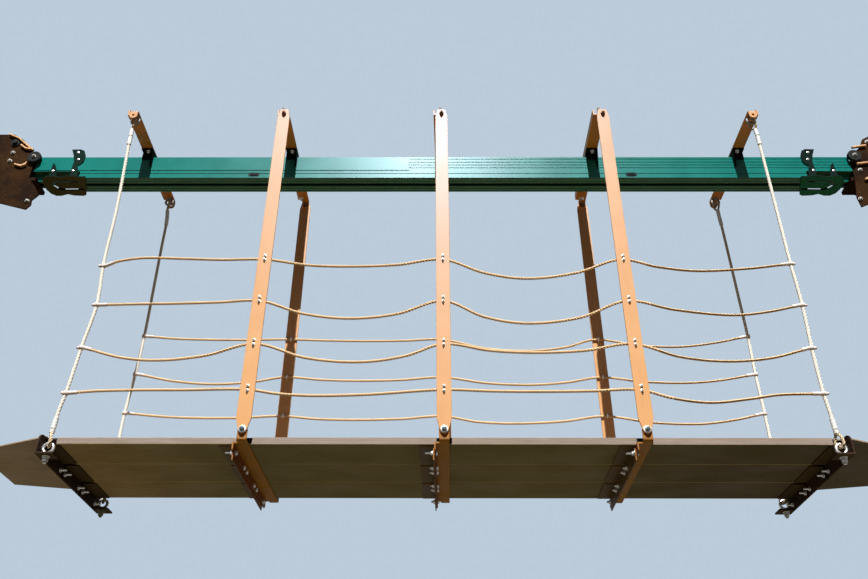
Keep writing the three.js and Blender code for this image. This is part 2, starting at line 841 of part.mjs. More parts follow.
function endRope(key) {
  const sx = key.endsWith("left") ? -1 : 1;
  const y = sideOf(key) * END_ROPE_Y;
  const curve = endRopeCurve(key);
  const topTube = new THREE.Vector3(CENTRE_X + sx * END_STATION, y, TOP_EYE_Z - EYE_RADIUS);
  const bottomTube = new THREE.Vector3(CENTRE_X + sx * BOTTOM_EYE_X, y, BOTTOM_EYE_Z + EYE_RADIUS);
  return join(
    roundBar(curve, END_ROPE_RADIUS, 8, END_ROPE_STEPS),
    ferrule(key, 19, -37),
    ferrule(key, -44, -112),
    ferrule(key, -1870, -1938),
    ferrule(key, -1945, -2001),
    hookedLoop(topTube, curve.getPoint(0), 1),
    hookedLoop(bottomTube, curve.getPoint(1), -1),
  );
}

// Routes of the side ropes from the left end rope to the right one, as [x from the centre, z].
const SIDE_ROUTES = {
  near: [
    [
      [-1912, -1036],
      [-1860, -1012],
      [-1780, -995],
      [-1690, -988],
      [-1480, -1000],
      [-1260, -1014],
      [-1000, -1021],
      [-753, -1060],
      [-500, -1068],
      [-250, -1056],
      [0, -1021],
      [230, -1112],
      [458, -1150],
      [740, -1112],
      [1000, -1021],
      [1200, -1064],
      [1411, -1085],
      [1700, -1062],
      [1950, -1021],
    ],
    [
      [-1890, -1297],
      [-1680, -1299],
      [-1465, -1301],
      [-1230, -1300],
      [-1000, -1297],
      [-760, -1378],
      [-503, -1409],
      [-250, -1380],
      [0, -1297],
      [220, -1398],
      [442, -1439],
      [740, -1402],
      [1000, -1297],
      [1260, -1346],
      [1573, -1371],
      [1770, -1344],
      [1950, -1297],
    ],
    [
      [-1912, -1566],
      [-1700, -1632],
      [-1504, -1653],
      [-1250, -1630],
      [-1000, -1566],
      [-720, -1650],
      [-433, -1674],
      [-200, -1638],
      [0, -1566],
      [240, -1605],
      [468, -1618],
      [740, -1606],
      [1000, -1566],
      [1240, -1636],
      [1474, -1657],
      [1720, -1632],
      [1938, -1566],
    ],
    [
      [-1930, -1834],
      [-1791, -1826],
      [-1570, -1825],
      [-1349, -1829],
      [-1000, -1834],
      [-860, -1856],
      [-686, -1868],
      [-400, -1862],
      [0, -1834],
      [250, -1842],
      [490, -1844],
      [760, -1841],
      [1000, -1834],
      [1160, -1876],
      [1351, -1897],
      [1560, -1872],
      [1712, -1846],
      [1934, -1834],
    ],
  ],
  far: [
    [
      [-1918, -1021],
      [-1750, -1033],
      [-1582, -1036],
      [-1290, -1032],
      [-1000, -1021],
      [-760, -1029],
      [-500, -1033],
      [-250, -1030],
      [0, -1022],
      [280, -1088],
      [566, -1106],
      [800, -1078],
      [1000, -1021],
      [1260, -1070],
      [1538, -1086],
      [1760, -1062],
      [1958, -1021],
    ],
    [
      [-1922, -1297],
      [-1680, -1342],
      [-1438, -1356],
      [-1200, -1335],
      [-1000, -1297],
      [-760, -1316],
      [-500, -1322],
      [-250, -1315],
      [0, -1297],
      [280, -1338],
      [551, -1350],
      [790, -1332],
      [1000, -1297],
      [1280, -1334],
      [1560, -1346],
      [1760, -1330],
      [1952, -1297],
    ],
    [
      [-1935, -1566],
      [-1720, -1584],
      [-1496, -1589],
      [-1250, -1583],
      [-1000, -1566],
      [-760, -1586],
      [-510, -1591],
      [-250, -1584],
      [0, -1566],
      [220, -1604],
      [444, -1614],
      [740, -1600],
      [1000, -1566],
      [1290, -1612],
      [1576, -1626],
      [1780, -1604],
      [1950, -1566],
    ],
    [
      [-1934, -1834],
      [-1740, -1846],
      [-1500, -1852],
      [-1250, -1847],
      [-1000, -1834],
      [-750, -1854],
      [-500, -1862],
      [-250, -1855],
      [0, -1834],
      [250, -1850],
      [500, -1856],
      [750, -1850],
      [1000, -1834],
      [1250, -1858],
      [1500, -1866],
      [1730, -1856],
      [1948, -1834],
    ],
  ],
};

// The side ropes lie against the hangers' inner faces, and narrow to the end ropes' line.
function sideRopeY(x) {
  const share = Math.max(0, Math.abs(x) - MIDDLE_SPACING) / (END_STATION - MIDDLE_SPACING);
  return SIDE_ROPE_Y + (END_ROPE_Y - SIDE_ROPE_Y) * share;
}

// Collar round an end rope, open along the rope's own direction there.
function collar(point, along) {
  const half = COLLAR_HEIGHT / 2;
  const profile = [
    [COLLAR_BORE, -half],
    [COLLAR_RADIUS, -half],
    [COLLAR_RADIUS, half],
    [COLLAR_BORE, half],
    [COLLAR_BORE, -half],
  ];
  const g = new THREE.LatheGeometry(
    profile.map(([u, v]) => new THREE.Vector2(u, v)),
    12,
  );
  const turn = new THREE.Quaternion().setFromUnitVectors(new THREE.Vector3(0, 1, 0), along);
  return solidOf(g.applyQuaternion(turn).translate(point.x, point.y, point.z));
}

function sideRope(side, level) {
  const sy = sideOf(side);
  const route = SIDE_ROUTES[side][level];
  const wallMiddle = (COLLAR_BORE + COLLAR_RADIUS) / 2;
  const first = endRopeAt(side + "_left", route[0][1]);
  const last = endRopeAt(side + "_right", route[route.length - 1][1]);
  const start = [first.point.x + wallMiddle, first.point.y, first.point.z];
  const end = [last.point.x - wallMiddle, last.point.y, last.point.z];
  const inner = route.slice(1, -1).map(([x, z]) => [CENTRE_X + x, sy * sideRopeY(x), z]);
  const curve = smoothPath([start, ...inner, end]);
  const share = SLEEVE_LENGTH / curve.getLength();
  const sleeveLeft = curve.getPointAt(share).toArray();
  const sleeveRight = curve.getPointAt(1 - share).toArray();
  const nub = wallMiddle + 14;
  return join(
    roundBar(curve, SIDE_ROPE_RADIUS, 8, 26),
    straightBar(start, sleeveLeft, SLEEVE_RADIUS, 8),
    straightBar(sleeveRight, end, SLEEVE_RADIUS, 8),
    straightBar([start[0] - 2 * wallMiddle, start[1], start[2]], [first.point.x - nub, start[1], start[2]], 8, 8),
    straightBar([end[0] + 2 * wallMiddle, end[1], end[2]], [last.point.x + nub, end[1], end[2]], 8, 8),
    collar(first.point, first.along),
    collar(last.point, last.along),
  );
}

// Tapered plate that leads onto the deck, lying on the end crossmember and the plank ends.
function approachPlate(sx) {
  const plan = [
    [APPROACH_INNER, -APPROACH_NECK],
    [END_LEG_OUTER - END_LEG_THICKNESS, -APPROACH_NECK],
    [END_LEG_OUTER - END_LEG_THICKNESS, -APPROACH_HALF_WIDTH],
    [END_LEG_OUTER, -APPROACH_HALF_WIDTH],
    [APPROACH_OUTER, -200],
    [APPROACH_OUTER, 284],
    [END_LEG_OUTER, APPROACH_HALF_WIDTH],
    [END_LEG_OUTER - END_LEG_THICKNESS, APPROACH_HALF_WIDTH],
    [END_LEG_OUTER - END_LEG_THICKNESS, APPROACH_NECK],
    [APPROACH_INNER, APPROACH_NECK],
  ];
  const bottom = DECK_TOP_Z + FIT_GAP;
  const placed = plan.map(([d, y]) => [CENTRE_X + sx * d, y]);
  return prismZ(placed, bottom, bottom + APPROACH_THICKNESS);
}

place("track_beam", trackBeam(), GREEN);
place("running_rail", runningRail(), GREEN);
for (const [side, sx] of [["left", -1], ["right", 1]]) {
  place("end_rail_" + side, endRail(sx), GREEN);
  place("bypass_loop_" + side, bypassLoop(sx), GREEN);
  place("end_bracket_" + side, endBracket(side, sx), BROWN);
  place("end_stop_" + side, endStop(side, sx), RUBBER);
  place("end_crossmember_" + side, endCrossmember(sx), BROWN);
  place("approach_plate_" + side, approachPlate(sx), BROWN);
}
for (let i = 0; i < STATIONS.length; i++) {
  place("cross_arm_" + (i + 1), crossArm(i), ORANGE);
  place("arm_saddle_" + (i + 1), armSaddle(i), GREEN);
}
for (let i = 1; i < STATIONS.length - 1; i++) {
  place("hanger_near_" + (i + 1), hanger(i, -1), ORANGE);
  place("hanger_far_" + (i + 1), hanger(i, 1), ORANGE);
  place("deck_crossmember_" + (i + 1), deckCrossmember(i), ORANGE);
}
for (let bay = 0; bay < STATIONS.length - 1; bay++) {
  for (let row = 0; row < PLANK_ROWS; row++) {
    place("plank_bay_" + (bay + 1) + "_row_" + (row + 1), plank(bay, row), PLANK);
  }
}
for (const key of Object.keys(END_ROUTES)) {
  place("end_rope_" + key, endRope(key), CREAM_ROPE);
}
for (const side of ["near", "far"]) {
  for (let level = 0; level < SIDE_ROUTES[side].length; level++) {
    place("side_rope_" + side + "_" + (level + 1), sideRope(side, level), TAN_ROPE);
  }
}

export default group;
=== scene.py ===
"""Rope suspension footbridge, dressed: ropes, fasteners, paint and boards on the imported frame.

Metres, +Z up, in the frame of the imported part. A place "out" runs outwards from the bridge's middle.
"""

import math

import bmesh
import bpy
from mathutils import Matrix, Vector


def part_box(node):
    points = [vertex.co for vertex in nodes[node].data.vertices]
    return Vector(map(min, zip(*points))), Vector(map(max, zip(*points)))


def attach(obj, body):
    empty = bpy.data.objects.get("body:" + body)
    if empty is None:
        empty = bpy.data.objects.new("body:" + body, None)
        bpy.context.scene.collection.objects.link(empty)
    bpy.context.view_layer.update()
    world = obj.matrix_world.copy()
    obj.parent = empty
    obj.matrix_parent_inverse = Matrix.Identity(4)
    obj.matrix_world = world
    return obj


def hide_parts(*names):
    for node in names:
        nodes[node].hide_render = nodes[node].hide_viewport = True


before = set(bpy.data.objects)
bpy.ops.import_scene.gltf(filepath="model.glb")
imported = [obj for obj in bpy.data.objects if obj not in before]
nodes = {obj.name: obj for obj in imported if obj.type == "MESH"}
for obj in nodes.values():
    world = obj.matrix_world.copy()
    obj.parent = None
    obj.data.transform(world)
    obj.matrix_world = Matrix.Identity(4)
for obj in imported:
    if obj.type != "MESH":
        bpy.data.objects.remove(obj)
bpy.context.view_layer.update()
scene = bpy.context.scene

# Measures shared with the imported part
MIDDLE = 3.06
STATIONS = (-1.968, -1.0, 0.0, 1.0, 1.968)
ARM_ENDS = {2: (-0.007, 0.008), 3: (-0.008, 0.014), 4: (0.0135, 0.016)}
CROSSMEMBER_ENDS = {2: (0.0015, 0.016), 3: (0.002, 0.014), 4: (0.005, 0.015)}
TAB_Y = 0.4597
HANGER_OUTER_Y = 0.4695
TOP_BOLT_Z = 0.1
FOOT_BOLT_Z = -2.059
ARM_THICKNESS = 0.008
ARM_UNDERSIDE_Z = 0.13
ARM_TOP_Z = 0.138
ROPE_LEVELS = (-1.0213, -1.297, -1.566, -1.834)
SIDE_ROPE_Y = 0.4517
SIDE_ROPE_RADIUS = 0.0083
END_ROPE_Y = 0.41
END_ROPE_RADIUS = 0.0098
FERRULE_RADIUS = 0.0134
TOP_FERRULES = ((0.019, -0.037), (-0.044, -0.112))
LOW_FERRULES = {"near": ((-1.972, -2.034), (-2.037, -2.056)), "far": ((-1.87, -1.938), (-1.945, -2.001))}
EYE_RADIUS = 0.025
EYE_TUBE = 0.0079
TOP_EYE_Z = 0.094
BOTTOM_EYE_Z = -2.137
BOTTOM_EYE_OUT = 1.963
COLLAR_WALL_MIDDLE = 0.0123
LEG_FRONT = 0.0425
LEG_BACK = 0.0511
CLIP_FACE_BACK = 0.043
CLIP_BOLT_Z = -2.14
END_LEG_OUT = 2.005
END_BOLT_Z = -2.155
LEG_AND_CLIP = 0.0141
CROSSMEMBER_BOLT_ROWS = (-0.361, -0.163, -0.099, 0.099, 0.163, 0.361)
SADDLE_BOLT_Y = 0.0955
SADDLE_BOLT_BACK = 0.008
SADDLE_UNDERSIDE_Z = 0.1217
END_LEG_UNDERSIDE_Z = -2.172
END_LEG_BOTTOM_Z = -2.18
LOOP_EAR_Y = 0.0818
CHEEK_Y = 0.0858
STOP_FACE_Y = 0.0861
LIP_THICKNESS = 0.0053
SIDES = (("near", -1), ("far", 1))
ENDS = (("left", -1), ("right", 1))
CORNERS = [(name + "_" + end, name, side, way_out) for name, side in SIDES for end, way_out in ENDS]
MIDDLE_ARMS = (2, 3, 4)

# The rail's oval slots, each with a painted shade round it: their places, and half their length and height
RAIL_SLOTS_X = (MIDDLE - 1.25, MIDDLE + 1.25)
RAIL_SLOT_Z = -0.064
RAIL_SLOT_HALVES = (0.039, 0.02)

# Sizes that only the dressed bridge has
END_ROPE_LAY = 0.062
SIDE_ROPE_LAY = 0.052
LOOP_LAY = 0.05
LOOP_RADIUS = 0.0082
SLEEVE_RADIUS = 0.0103
ROPE_STEP = 0.004
SLEEVE_STEPS = 13
BIG_NUT = 0.024
EDGE_STEPS = 2

# Tones, as linear red, green and blue: a painted shade for the rail's slots, then a painted highlight and a
# painted shade for the seam edges under the boards
SLOT_PAINTED_SHADE = (0.002, 0.006, 0.005)
SEAM_EDGE_PAINTED_HIGHLIGHT = (1.0, 0.86, 0.62)
SEAM_EDGE_PAINTED_SHADE = (0.03, 0.022, 0.014)

# Camera, fitted to the straight edges of the beam, the hangers and the deck
CAMERA_PITCH, CAMERA_YAW, CAMERA_ROLL = 33.234, -0.303, 0.1835
CAMERA_PLACE = (MIDDLE - 0.031, -4.345, -3.7735)
CAMERA_LENS = 35.09
CAMERA_SENSOR = 36.0

# Key light: its height and its turn from straight behind the camera, and its width, in degrees
KEY_RISE = 52.5
KEY_ASIDE = 1.2
KEY_WIDTH = 0.4
KEY_STRENGTH = 6.2
FLOOR_Z = -5.4
FLOOR_HALF = 30.0

# Routes of the end ropes, as (x from the middle, z), from the top ferrule to the bottom one
END_ROUTES = {
    "near_left": (
        (-1.974, 0.02), (-1.971, -0.06), (-1.968, -0.13), (-1.955, -0.33), (-1.937, -0.65), (-1.93, -1.021),
        (-1.908, -1.297), (-1.93, -1.566), (-1.948, -1.834), (-1.961, -1.94), (-1.966, -2.055),
    ),
    "near_right": (
        (1.98, 0.02), (1.984, -0.06), (1.981, -0.13), (1.977, -0.4), (1.972, -0.7), (1.967, -1.021),
        (1.968, -1.297), (1.955, -1.566), (1.951, -1.834), (1.957, -1.94), (1.961, -2.055),
    ),
    "far_left": (
        (-1.968, 0.02), (-1.961, -0.03), (-1.956, -0.08), (-1.952, -0.3), (-1.944, -0.65), (-1.936, -1.021),
        (-1.94, -1.297), (-1.953, -1.566), (-1.952, -1.834), (-1.958, -1.94), (-1.962, -2.002),
    ),
    "far_right": (
        (1.969, 0.02), (1.97, -0.06), (1.972, -0.13), (1.974, -0.4), (1.975, -0.7), (1.976, -1.021),
        (1.969, -1.297), (1.97, -1.566), (1.966, -1.834), (1.964, -1.94), (1.963, -2.002),
    ),
}

# Routes of the side ropes, as (x from the middle, z), from the left end rope to the right one
SIDE_ROUTES = {
    "near_1": (
        (-1.912, -1.036), (-1.86, -1.012), (-1.78, -0.995), (-1.69, -0.988), (-1.48, -1.0), (-1.26, -1.014),
        (-1.0, -1.021), (-0.753, -1.06), (-0.5, -1.068), (-0.25, -1.056), (0.0, -1.021), (0.23, -1.112),
        (0.458, -1.15), (0.74, -1.112), (1.0, -1.021), (1.2, -1.064), (1.411, -1.085), (1.7, -1.062),
        (1.95, -1.021),
    ),
    "near_2": (
        (-1.89, -1.297), (-1.68, -1.299), (-1.465, -1.301), (-1.23, -1.3), (-1.0, -1.297), (-0.76, -1.378),
        (-0.503, -1.409), (-0.25, -1.38), (0.0, -1.297), (0.22, -1.398), (0.442, -1.439), (0.74, -1.402),
        (1.0, -1.297), (1.26, -1.346), (1.573, -1.371), (1.77, -1.344), (1.95, -1.297),
    ),
    "near_3": (
        (-1.912, -1.566), (-1.7, -1.632), (-1.504, -1.653), (-1.25, -1.63), (-1.0, -1.566), (-0.72, -1.65),
        (-0.433, -1.674), (-0.2, -1.638), (0.0, -1.566), (0.24, -1.605), (0.468, -1.618), (0.74, -1.606),
        (1.0, -1.566), (1.24, -1.636), (1.474, -1.657), (1.72, -1.632), (1.938, -1.566),
    ),
    "near_4": (
        (-1.93, -1.834), (-1.791, -1.826), (-1.57, -1.825), (-1.349, -1.829), (-1.0, -1.834),
        (-0.86, -1.856), (-0.686, -1.868), (-0.4, -1.862), (0.0, -1.834), (0.25, -1.842), (0.49, -1.844),
        (0.76, -1.841), (1.0, -1.834), (1.16, -1.876), (1.351, -1.897), (1.56, -1.872), (1.712, -1.846),
        (1.934, -1.834),
    ),
    "far_1": (
        (-1.918, -1.021), (-1.75, -1.033), (-1.582, -1.036), (-1.29, -1.032), (-1.0, -1.021),
        (-0.76, -1.029), (-0.5, -1.033), (-0.25, -1.03), (0.0, -1.022), (0.28, -1.088), (0.566, -1.106),
        (0.8, -1.078), (1.0, -1.021), (1.26, -1.07), (1.538, -1.086), (1.76, -1.062), (1.958, -1.021),
    ),
    "far_2": (
        (-1.922, -1.297), (-1.68, -1.342), (-1.438, -1.356), (-1.2, -1.335), (-1.0, -1.297),
        (-0.76, -1.316), (-0.5, -1.322), (-0.25, -1.315), (0.0, -1.297), (0.28, -1.338), (0.551, -1.35),
        (0.79, -1.332), (1.0, -1.297), (1.28, -1.334), (1.56, -1.346), (1.76, -1.33), (1.952, -1.297),
    ),
    "far_3": (
        (-1.935, -1.566), (-1.72, -1.584), (-1.496, -1.589), (-1.25, -1.583), (-1.0, -1.566),
        (-0.76, -1.586), (-0.51, -1.591), (-0.25, -1.584), (0.0, -1.566), (0.22, -1.604), (0.444, -1.614),
        (0.74, -1.6), (1.0, -1.566), (1.29, -1.612), (1.576, -1.626), (1.78, -1.604), (1.95, -1.566),
    ),
    "far_4": (
        (-1.934, -1.834), (-1.74, -1.846), (-1.5, -1.852), (-1.25, -1.847), (-1.0, -1.834), (-0.75, -1.854),
        (-0.5, -1.862), (-0.25, -1.855), (0.0, -1.834), (0.25, -1.85), (0.5, -1.856), (0.75, -1.85),
        (1.0, -1.834), (1.25, -1.858), (1.5, -1.866), (1.73, -1.856), (1.948, -1.834),
    ),
}


def make_camera():
    pitch, yaw, roll = (math.radians(a) for a in (CAMERA_PITCH, CAMERA_YAW, CAMERA_ROLL))
    forward = Vector((math.cos(pitch) * math.sin(yaw), math.cos(pitch) * math.cos(yaw), math.sin(pitch)))
    level = Vector((math.cos(yaw), -math.sin(yaw), 0))
    upright = level.cross(forward)
    right = level * math.cos(roll) + upright * math.sin(roll)
    up = upright * math.cos(roll) - level * math.sin(roll)
    camera = bpy.data.objects.new("camera", bpy.data.cameras.new("camera"))
    camera.data.lens = CAMERA_LENS
    camera.data.sensor_width = CAMERA_SENSOR
    camera.data.clip_end = 200.0
    turn = Matrix((right, up, -forward)).transposed().to_4x4()
    camera.matrix_world = Matrix.Translation(CAMERA_PLACE) @ turn
    scene.collection.objects.link(camera)
    scene.camera = camera


# Surfaces
class Finish:
    """A surface built node by node on the piece's own coordinates."""

    def __init__(self, name, roughness, metallic=0.0, specular=0.5, attribute=None):
        self.material = bpy.data.materials.new(name)
        self.material.use_nodes = True
        self.tree = self.material.node_tree
        self.shader = self.tree.nodes["Principled BSDF"]
        self.shader.inputs["Metallic"].default_value = metallic
        self.shader.inputs["Roughness"].default_value = roughness
        self.shader.inputs["Specular IOR Level"].default_value = specular
        self.roughness = roughness
        if attribute:
            self.place = self.attribute(attribute, "Vector")
        else:
            self.place = self.node("TexCoord").outputs["Object"]

    def node(self, kind, **settings):
        made = self.tree.nodes.new("ShaderNode" + kind)
        for key, value in settings.items():
            setattr(made, key, value)
        return made

    def fill(self, socket, value):
        if isinstance(value, bpy.types.NodeSocket):
            self.tree.links.new(value, socket)
        else:
            socket.default_value = value

    def attribute(self, name, output):
        return self.node("Attribute", attribute_name=name).outputs[output]

    def pattern(self, scale, detail=4.0, stretch=(1.0, 1.0, 1.0), rough=0.55, offset=(0.0, 0.0, 0.0)):
        """Cloudy noise from 0 to 1, with so many cells a metre."""
        mapping = self.node("Mapping")
        mapping.inputs["Scale"].default_value = stretch
        mapping.inputs["Location"].default_value = offset
        self.fill(mapping.inputs["Vector"], self.place)
        cloud = self.node("TexNoise")
        cloud.inputs["Scale"].default_value = scale
        cloud.inputs["Detail"].default_value = detail
        cloud.inputs["Roughness"].default_value = rough
        self.fill(cloud.inputs["Vector"], mapping.outputs["Vector"])
        return cloud.outputs["Fac"]

    def band(self, value, low, high, to_low=0.0, to_high=1.0):
        reach = self.node("MapRange", interpolation_type="SMOOTHSTEP")
        for name, amount in zip(("From Min", "From Max", "To Min", "To Max"), (low, high, to_low, to_high)):
            reach.inputs[name].default_value = amount
        self.fill(reach.inputs["Value"], value)
        return reach.outputs["Result"]

    def calc(self, kind, first, second):
        made = self.node("Math", operation=kind)
        self.fill(made.inputs[0], first)
        self.fill(made.inputs[1], second)
        return made.outputs["Value"]

    def blend(self, share, first, second):
        mix = self.node("Mix", data_type="RGBA")
        self.fill(mix.inputs["Factor"], share)
        for socket, value in ((mix.inputs["A"], first), (mix.inputs["B"], second)):
            self.fill(socket, value if isinstance(value, bpy.types.NodeSocket) else (*value, 1.0))
        return mix.outputs["Result"]

    def over(self, tint, tone, mask, low, high, most=1.0):
        """Lay a tone over a tint as a pattern goes from low to high."""
        return self.blend(self.band(mask, low, high, 0.0, most), tint, tone)

    def axis(self, name):
        split = self.node("SeparateXYZ")
        self.fill(split.inputs["Vector"], self.place)
        return split.outputs[name]

    def facing(self, name):
        """How far the surface faces along an axis, from -1 to 1."""
        split = self.node("SeparateXYZ")
        self.fill(split.inputs["Vector"], self.node("NewGeometry").outputs["Normal"])
        return split.outputs[name]

    def colour(self, value):
        self.fill(self.shader.inputs["Base Color"], value)

    def gloss(self, value, spread):
        self.fill(
            self.shader.inputs["Roughness"],
            self.band(value, 0.25, 0.75, self.roughness - spread, self.roughness + spread),
        )

    def relief(self, height, strength, depth):
        bump = self.node("Bump")
        bump.inputs["Strength"].default_value = strength
        bump.inputs["Distance"].default_value = depth
        self.fill(bump.inputs["Height"], height)
        self.fill(self.shader.inputs["Normal"], bump.outputs["Normal"])


def painted_steel(name, tone, deep, worn, roughness, wear=0.64, specular=0.5, under=None, slots=()):
    """Sprayed paint: cloudy tone, rain streaks, fine orange peel and a few worn spots.

    Faces that look down may have a tone of their own, which is painted light from the ground below, and a
    painted shade darkens an oval round each slot.
    """
    paint = Finish(name, roughness, specular=specular)
    cloud = paint.pattern(5.0, 5.0)
    streaks = paint.pattern(26.0, 3.0, (1.0, 1.0, 0.1))
    peel = paint.pattern(700.0, 2.0)
    chips = paint.pattern(75.0, 7.0, rough=0.62)
    tint = paint.over(deep, tone, cloud, 0.32, 0.68)
    dull = tuple(0.82 * c for c in deep)
    tint = paint.over(tint, dull, streaks, 0.52, 0.82, 0.45)
    # Painted light from below: faces that look down take the under tone in place of the paint's own.
    if under:
        beneath = paint.band(paint.facing("Z"), -0.75, -0.45, 1.0, 0.0)
        shade = paint.over(tuple(0.8 * c for c in under), under, cloud, 0.32, 0.68)
        tint = paint.blend(beneath, tint, shade)
    bare = paint.band(chips, wear, wear + 0.04)
    tint = paint.blend(paint.calc("MULTIPLY", bare, 0.8), tint, worn)
    # Painted shade: a dark oval over the paint round each slot.
    for x, z, half_length, half_height in slots:
        across = paint.calc("DIVIDE", paint.calc("SUBTRACT", paint.axis("X"), x), half_length)
        up = paint.calc("DIVIDE", paint.calc("SUBTRACT", paint.axis("Z"), z), half_height)
        wide = paint.calc("POWER", paint.calc("ABSOLUTE", across, 0.0), 4.0)
        away = paint.calc("ADD", wide, paint.calc("POWER", up, 2.0))
        tint = paint.blend(paint.band(away, 0.85, 1.1, 1.0, 0.0), tint, SLOT_PAINTED_SHADE)
    paint.colour(tint)
    paint.gloss(cloud, 0.02)
    paint.relief(paint.calc("SUBTRACT", paint.calc("MULTIPLY", peel, 0.25), bare), 0.35, 0.0003)
    return paint


def brushed(paint, tint, along, turn):
    """Bluish gloss, drawn out across the bar's length."""
    paint.shader.inputs["Specular Tint"].default_value = (*tint, 1.0)
    paint.shader.inputs["Anisotropic"].default_value = along
    paint.shader.inputs["Anisotropic Rotation"].default_value = turn
    return paint.material


def rope_fibre(name, crest_highlight, body, crevice_shade_and_fuzz, soil):
    """Laid fibre: a painted highlight on the strands' crests, painted shade in the deep crevices between the
    strands, fine yarns along them.
    """
    rope = Finish(name, 0.82, specular=0.3, attribute="lay")
    crown = rope.attribute("crown", "Fac")
    yarns = rope.pattern(1500.0, 3.0, (1.0, 1.0, 0.16))
    soiling = rope.pattern(11.0, 4.0, (0.2, 0.2, 1.0))
    fuzz = rope.pattern(260.0, 5.0, (1.0, 1.0, 0.5))
    # Painted shade in the crevices and a painted highlight on the crests, set by the strand's height. The
    # crevice tone also darkens the fuzz.
    tint = rope.over(crevice_shade_and_fuzz, body, crown, 0.02, 0.6)
    high = rope.calc("MULTIPLY", rope.band(crown, 0.4, 1.0), rope.band(yarns, 0.35, 0.68))
    tint = rope.blend(high, tint, crest_highlight)
    tint = rope.over(tint, soil, soiling, 0.48, 0.74, 0.5)
    tint = rope.over(tint, crevice_shade_and_fuzz, fuzz, 0.6, 0.75, 0.35)
    rope.colour(tint)
    rope.gloss(yarns, 0.08)
    rope.shader.inputs["Sheen Weight"].default_value = 0.15
    rope.relief(yarns, 0.6, 0.0006)
    return rope.material


def bare_metal(name, tone, deep, stain, roughness, metallic, stained, specular=0.5):
    """Zinc, steel or rubber: spangled tone, fine scratches and brown stains in places."""
    metal = Finish(name, roughness, metallic, specular)
    spangle = metal.pattern(140.0, 3.0)
    scratch = metal.pattern(420.0, 2.0, (1.0, 0.15, 1.0))
    spots = metal.pattern(48.0, 6.0, rough=0.6, offset=(0.3, 0.1, 0.7))
    tint = metal.over(deep, tone, spangle, 0.3, 0.7)
    tint = metal.over(tint, stain, spots, stained, stained + 0.12, 0.85)
    metal.colour(tint)
    metal.gloss(spangle, 0.1)
    metal.relief(scratch, 0.25, 0.0002)
    return metal.material


def weathered_board(name, face, grain_deep, under, under_deep):
    """Taupe board: long grain and dirt. The underside is browner, with painted light making it paler towards
    the left end and painted shade making it darker towards the right end. Its seam edges get a painted
    highlight where they look to -Y and a painted shade where they look to +Y.
    """
    board = Finish(name, 0.7, specular=0.3)
    grain = board.pattern(260.0, 5.0, (0.035, 1.0, 1.0))
    blotch = board.pattern(7.0, 5.0, (0.5, 1.0, 1.0))
    pores = board.pattern(900.0, 2.0, (0.12, 1.0, 1.0))
    top = board.over(grain_deep, face, grain, 0.3, 0.68)
    along = board.axis("X")
    # Painted light at the left end and painted shade at the right end of the underside.
    pale = tuple(c * k for c, k in zip(under, (2.2, 1.8, 2.3)))
    right_end_painted_shade = tuple(c * k for c, k in zip(under, (0.34, 0.27, 0.22)))
    low = board.over(pale, under, along, 0.9, 2.1)
    low = board.over(low, right_end_painted_shade, along, 3.6, 4.6)
    low = board.blend(board.band(grain, 0.3, 0.68, 0.45, 0.0), low, under_deep)
    # Painted highlight on underside edges that look to -Y, painted shade on those that look to +Y.
    across = board.facing("Y")
    low = board.blend(board.band(across, -0.5, -0.15, 1.0, 0.0), low, SEAM_EDGE_PAINTED_HIGHLIGHT)
    low = board.over(low, SEAM_EDGE_PAINTED_SHADE, across, 0.1, 0.4)
    beneath = board.band(board.facing("Z"), -0.5, -0.2, 1.0, 0.0)
    tint = board.blend(beneath, top, low)
    tint = board.over(tint, under_deep, blotch, 0.45, 0.78, 0.3)
    board.colour(tint)
    board.gloss(blotch, 0.1)
    board.relief(board.calc("ADD", grain, board.calc("MULTIPLY", pores, 0.3)), 0.4, 0.0007)
    return board.material


def crossmember_paint(index):
    """Ochre paint on the flange, red-brown on the leg and dark on the clip angles behind it, with a painted
    shade on faces that look to -Y.
    """
    near, far = CROSSMEMBER_ENDS[index]
    slope = (far - near) / (2 * TAB_Y)
    middle = MIDDLE + STATIONS[index - 1] + (near + far) / 2
    paint = Finish("crossmember_paint_%d" % index, 0.5, specular=0.15)
    cloud = paint.pattern(8.0, 5.0)
    streaks = paint.pattern(38.0, 4.0, (1.0, 1.0, 0.3))
    chips = paint.pattern(85.0, 7.0)
    mottle = paint.band(cloud, 0.3, 0.7)
    ochre = paint.blend(mottle, (0.58, 0.28, 0.035), (0.68, 0.34, 0.045))
    red = paint.blend(mottle, (0.23, 0.075, 0.015), (0.32, 0.11, 0.025))
    dark = paint.blend(mottle, (0.13, 0.085, 0.035), (0.19, 0.125, 0.05))
    along = paint.calc("SUBTRACT", paint.axis("X"), paint.calc("MULTIPLY", paint.axis("Y"), slope))
    tint = paint.blend(paint.calc("LESS_THAN", along, middle - LEG_FRONT), ochre, red)
    tint = paint.blend(paint.calc("LESS_THAN", along, middle - LEG_BACK), tint, dark)
    # Painted shade: faces that look to -Y turn darker brown.
    tint = paint.blend(paint.band(paint.facing("Y"), -0.8, -0.5, 1.0, 0.0), tint, (0.36, 0.16, 0.045))
    tint = paint.over(tint, (0.2, 0.1, 0.04), streaks, 0.55, 0.8, 0.4)
    tint = paint.over(tint, (0.1, 0.045, 0.02), chips, 0.66, 0.7, 0.8)
    paint.colour(tint)
    paint.gloss(cloud, 0.06)
    paint.relief(chips, 0.2, 0.0004)
    return paint.material


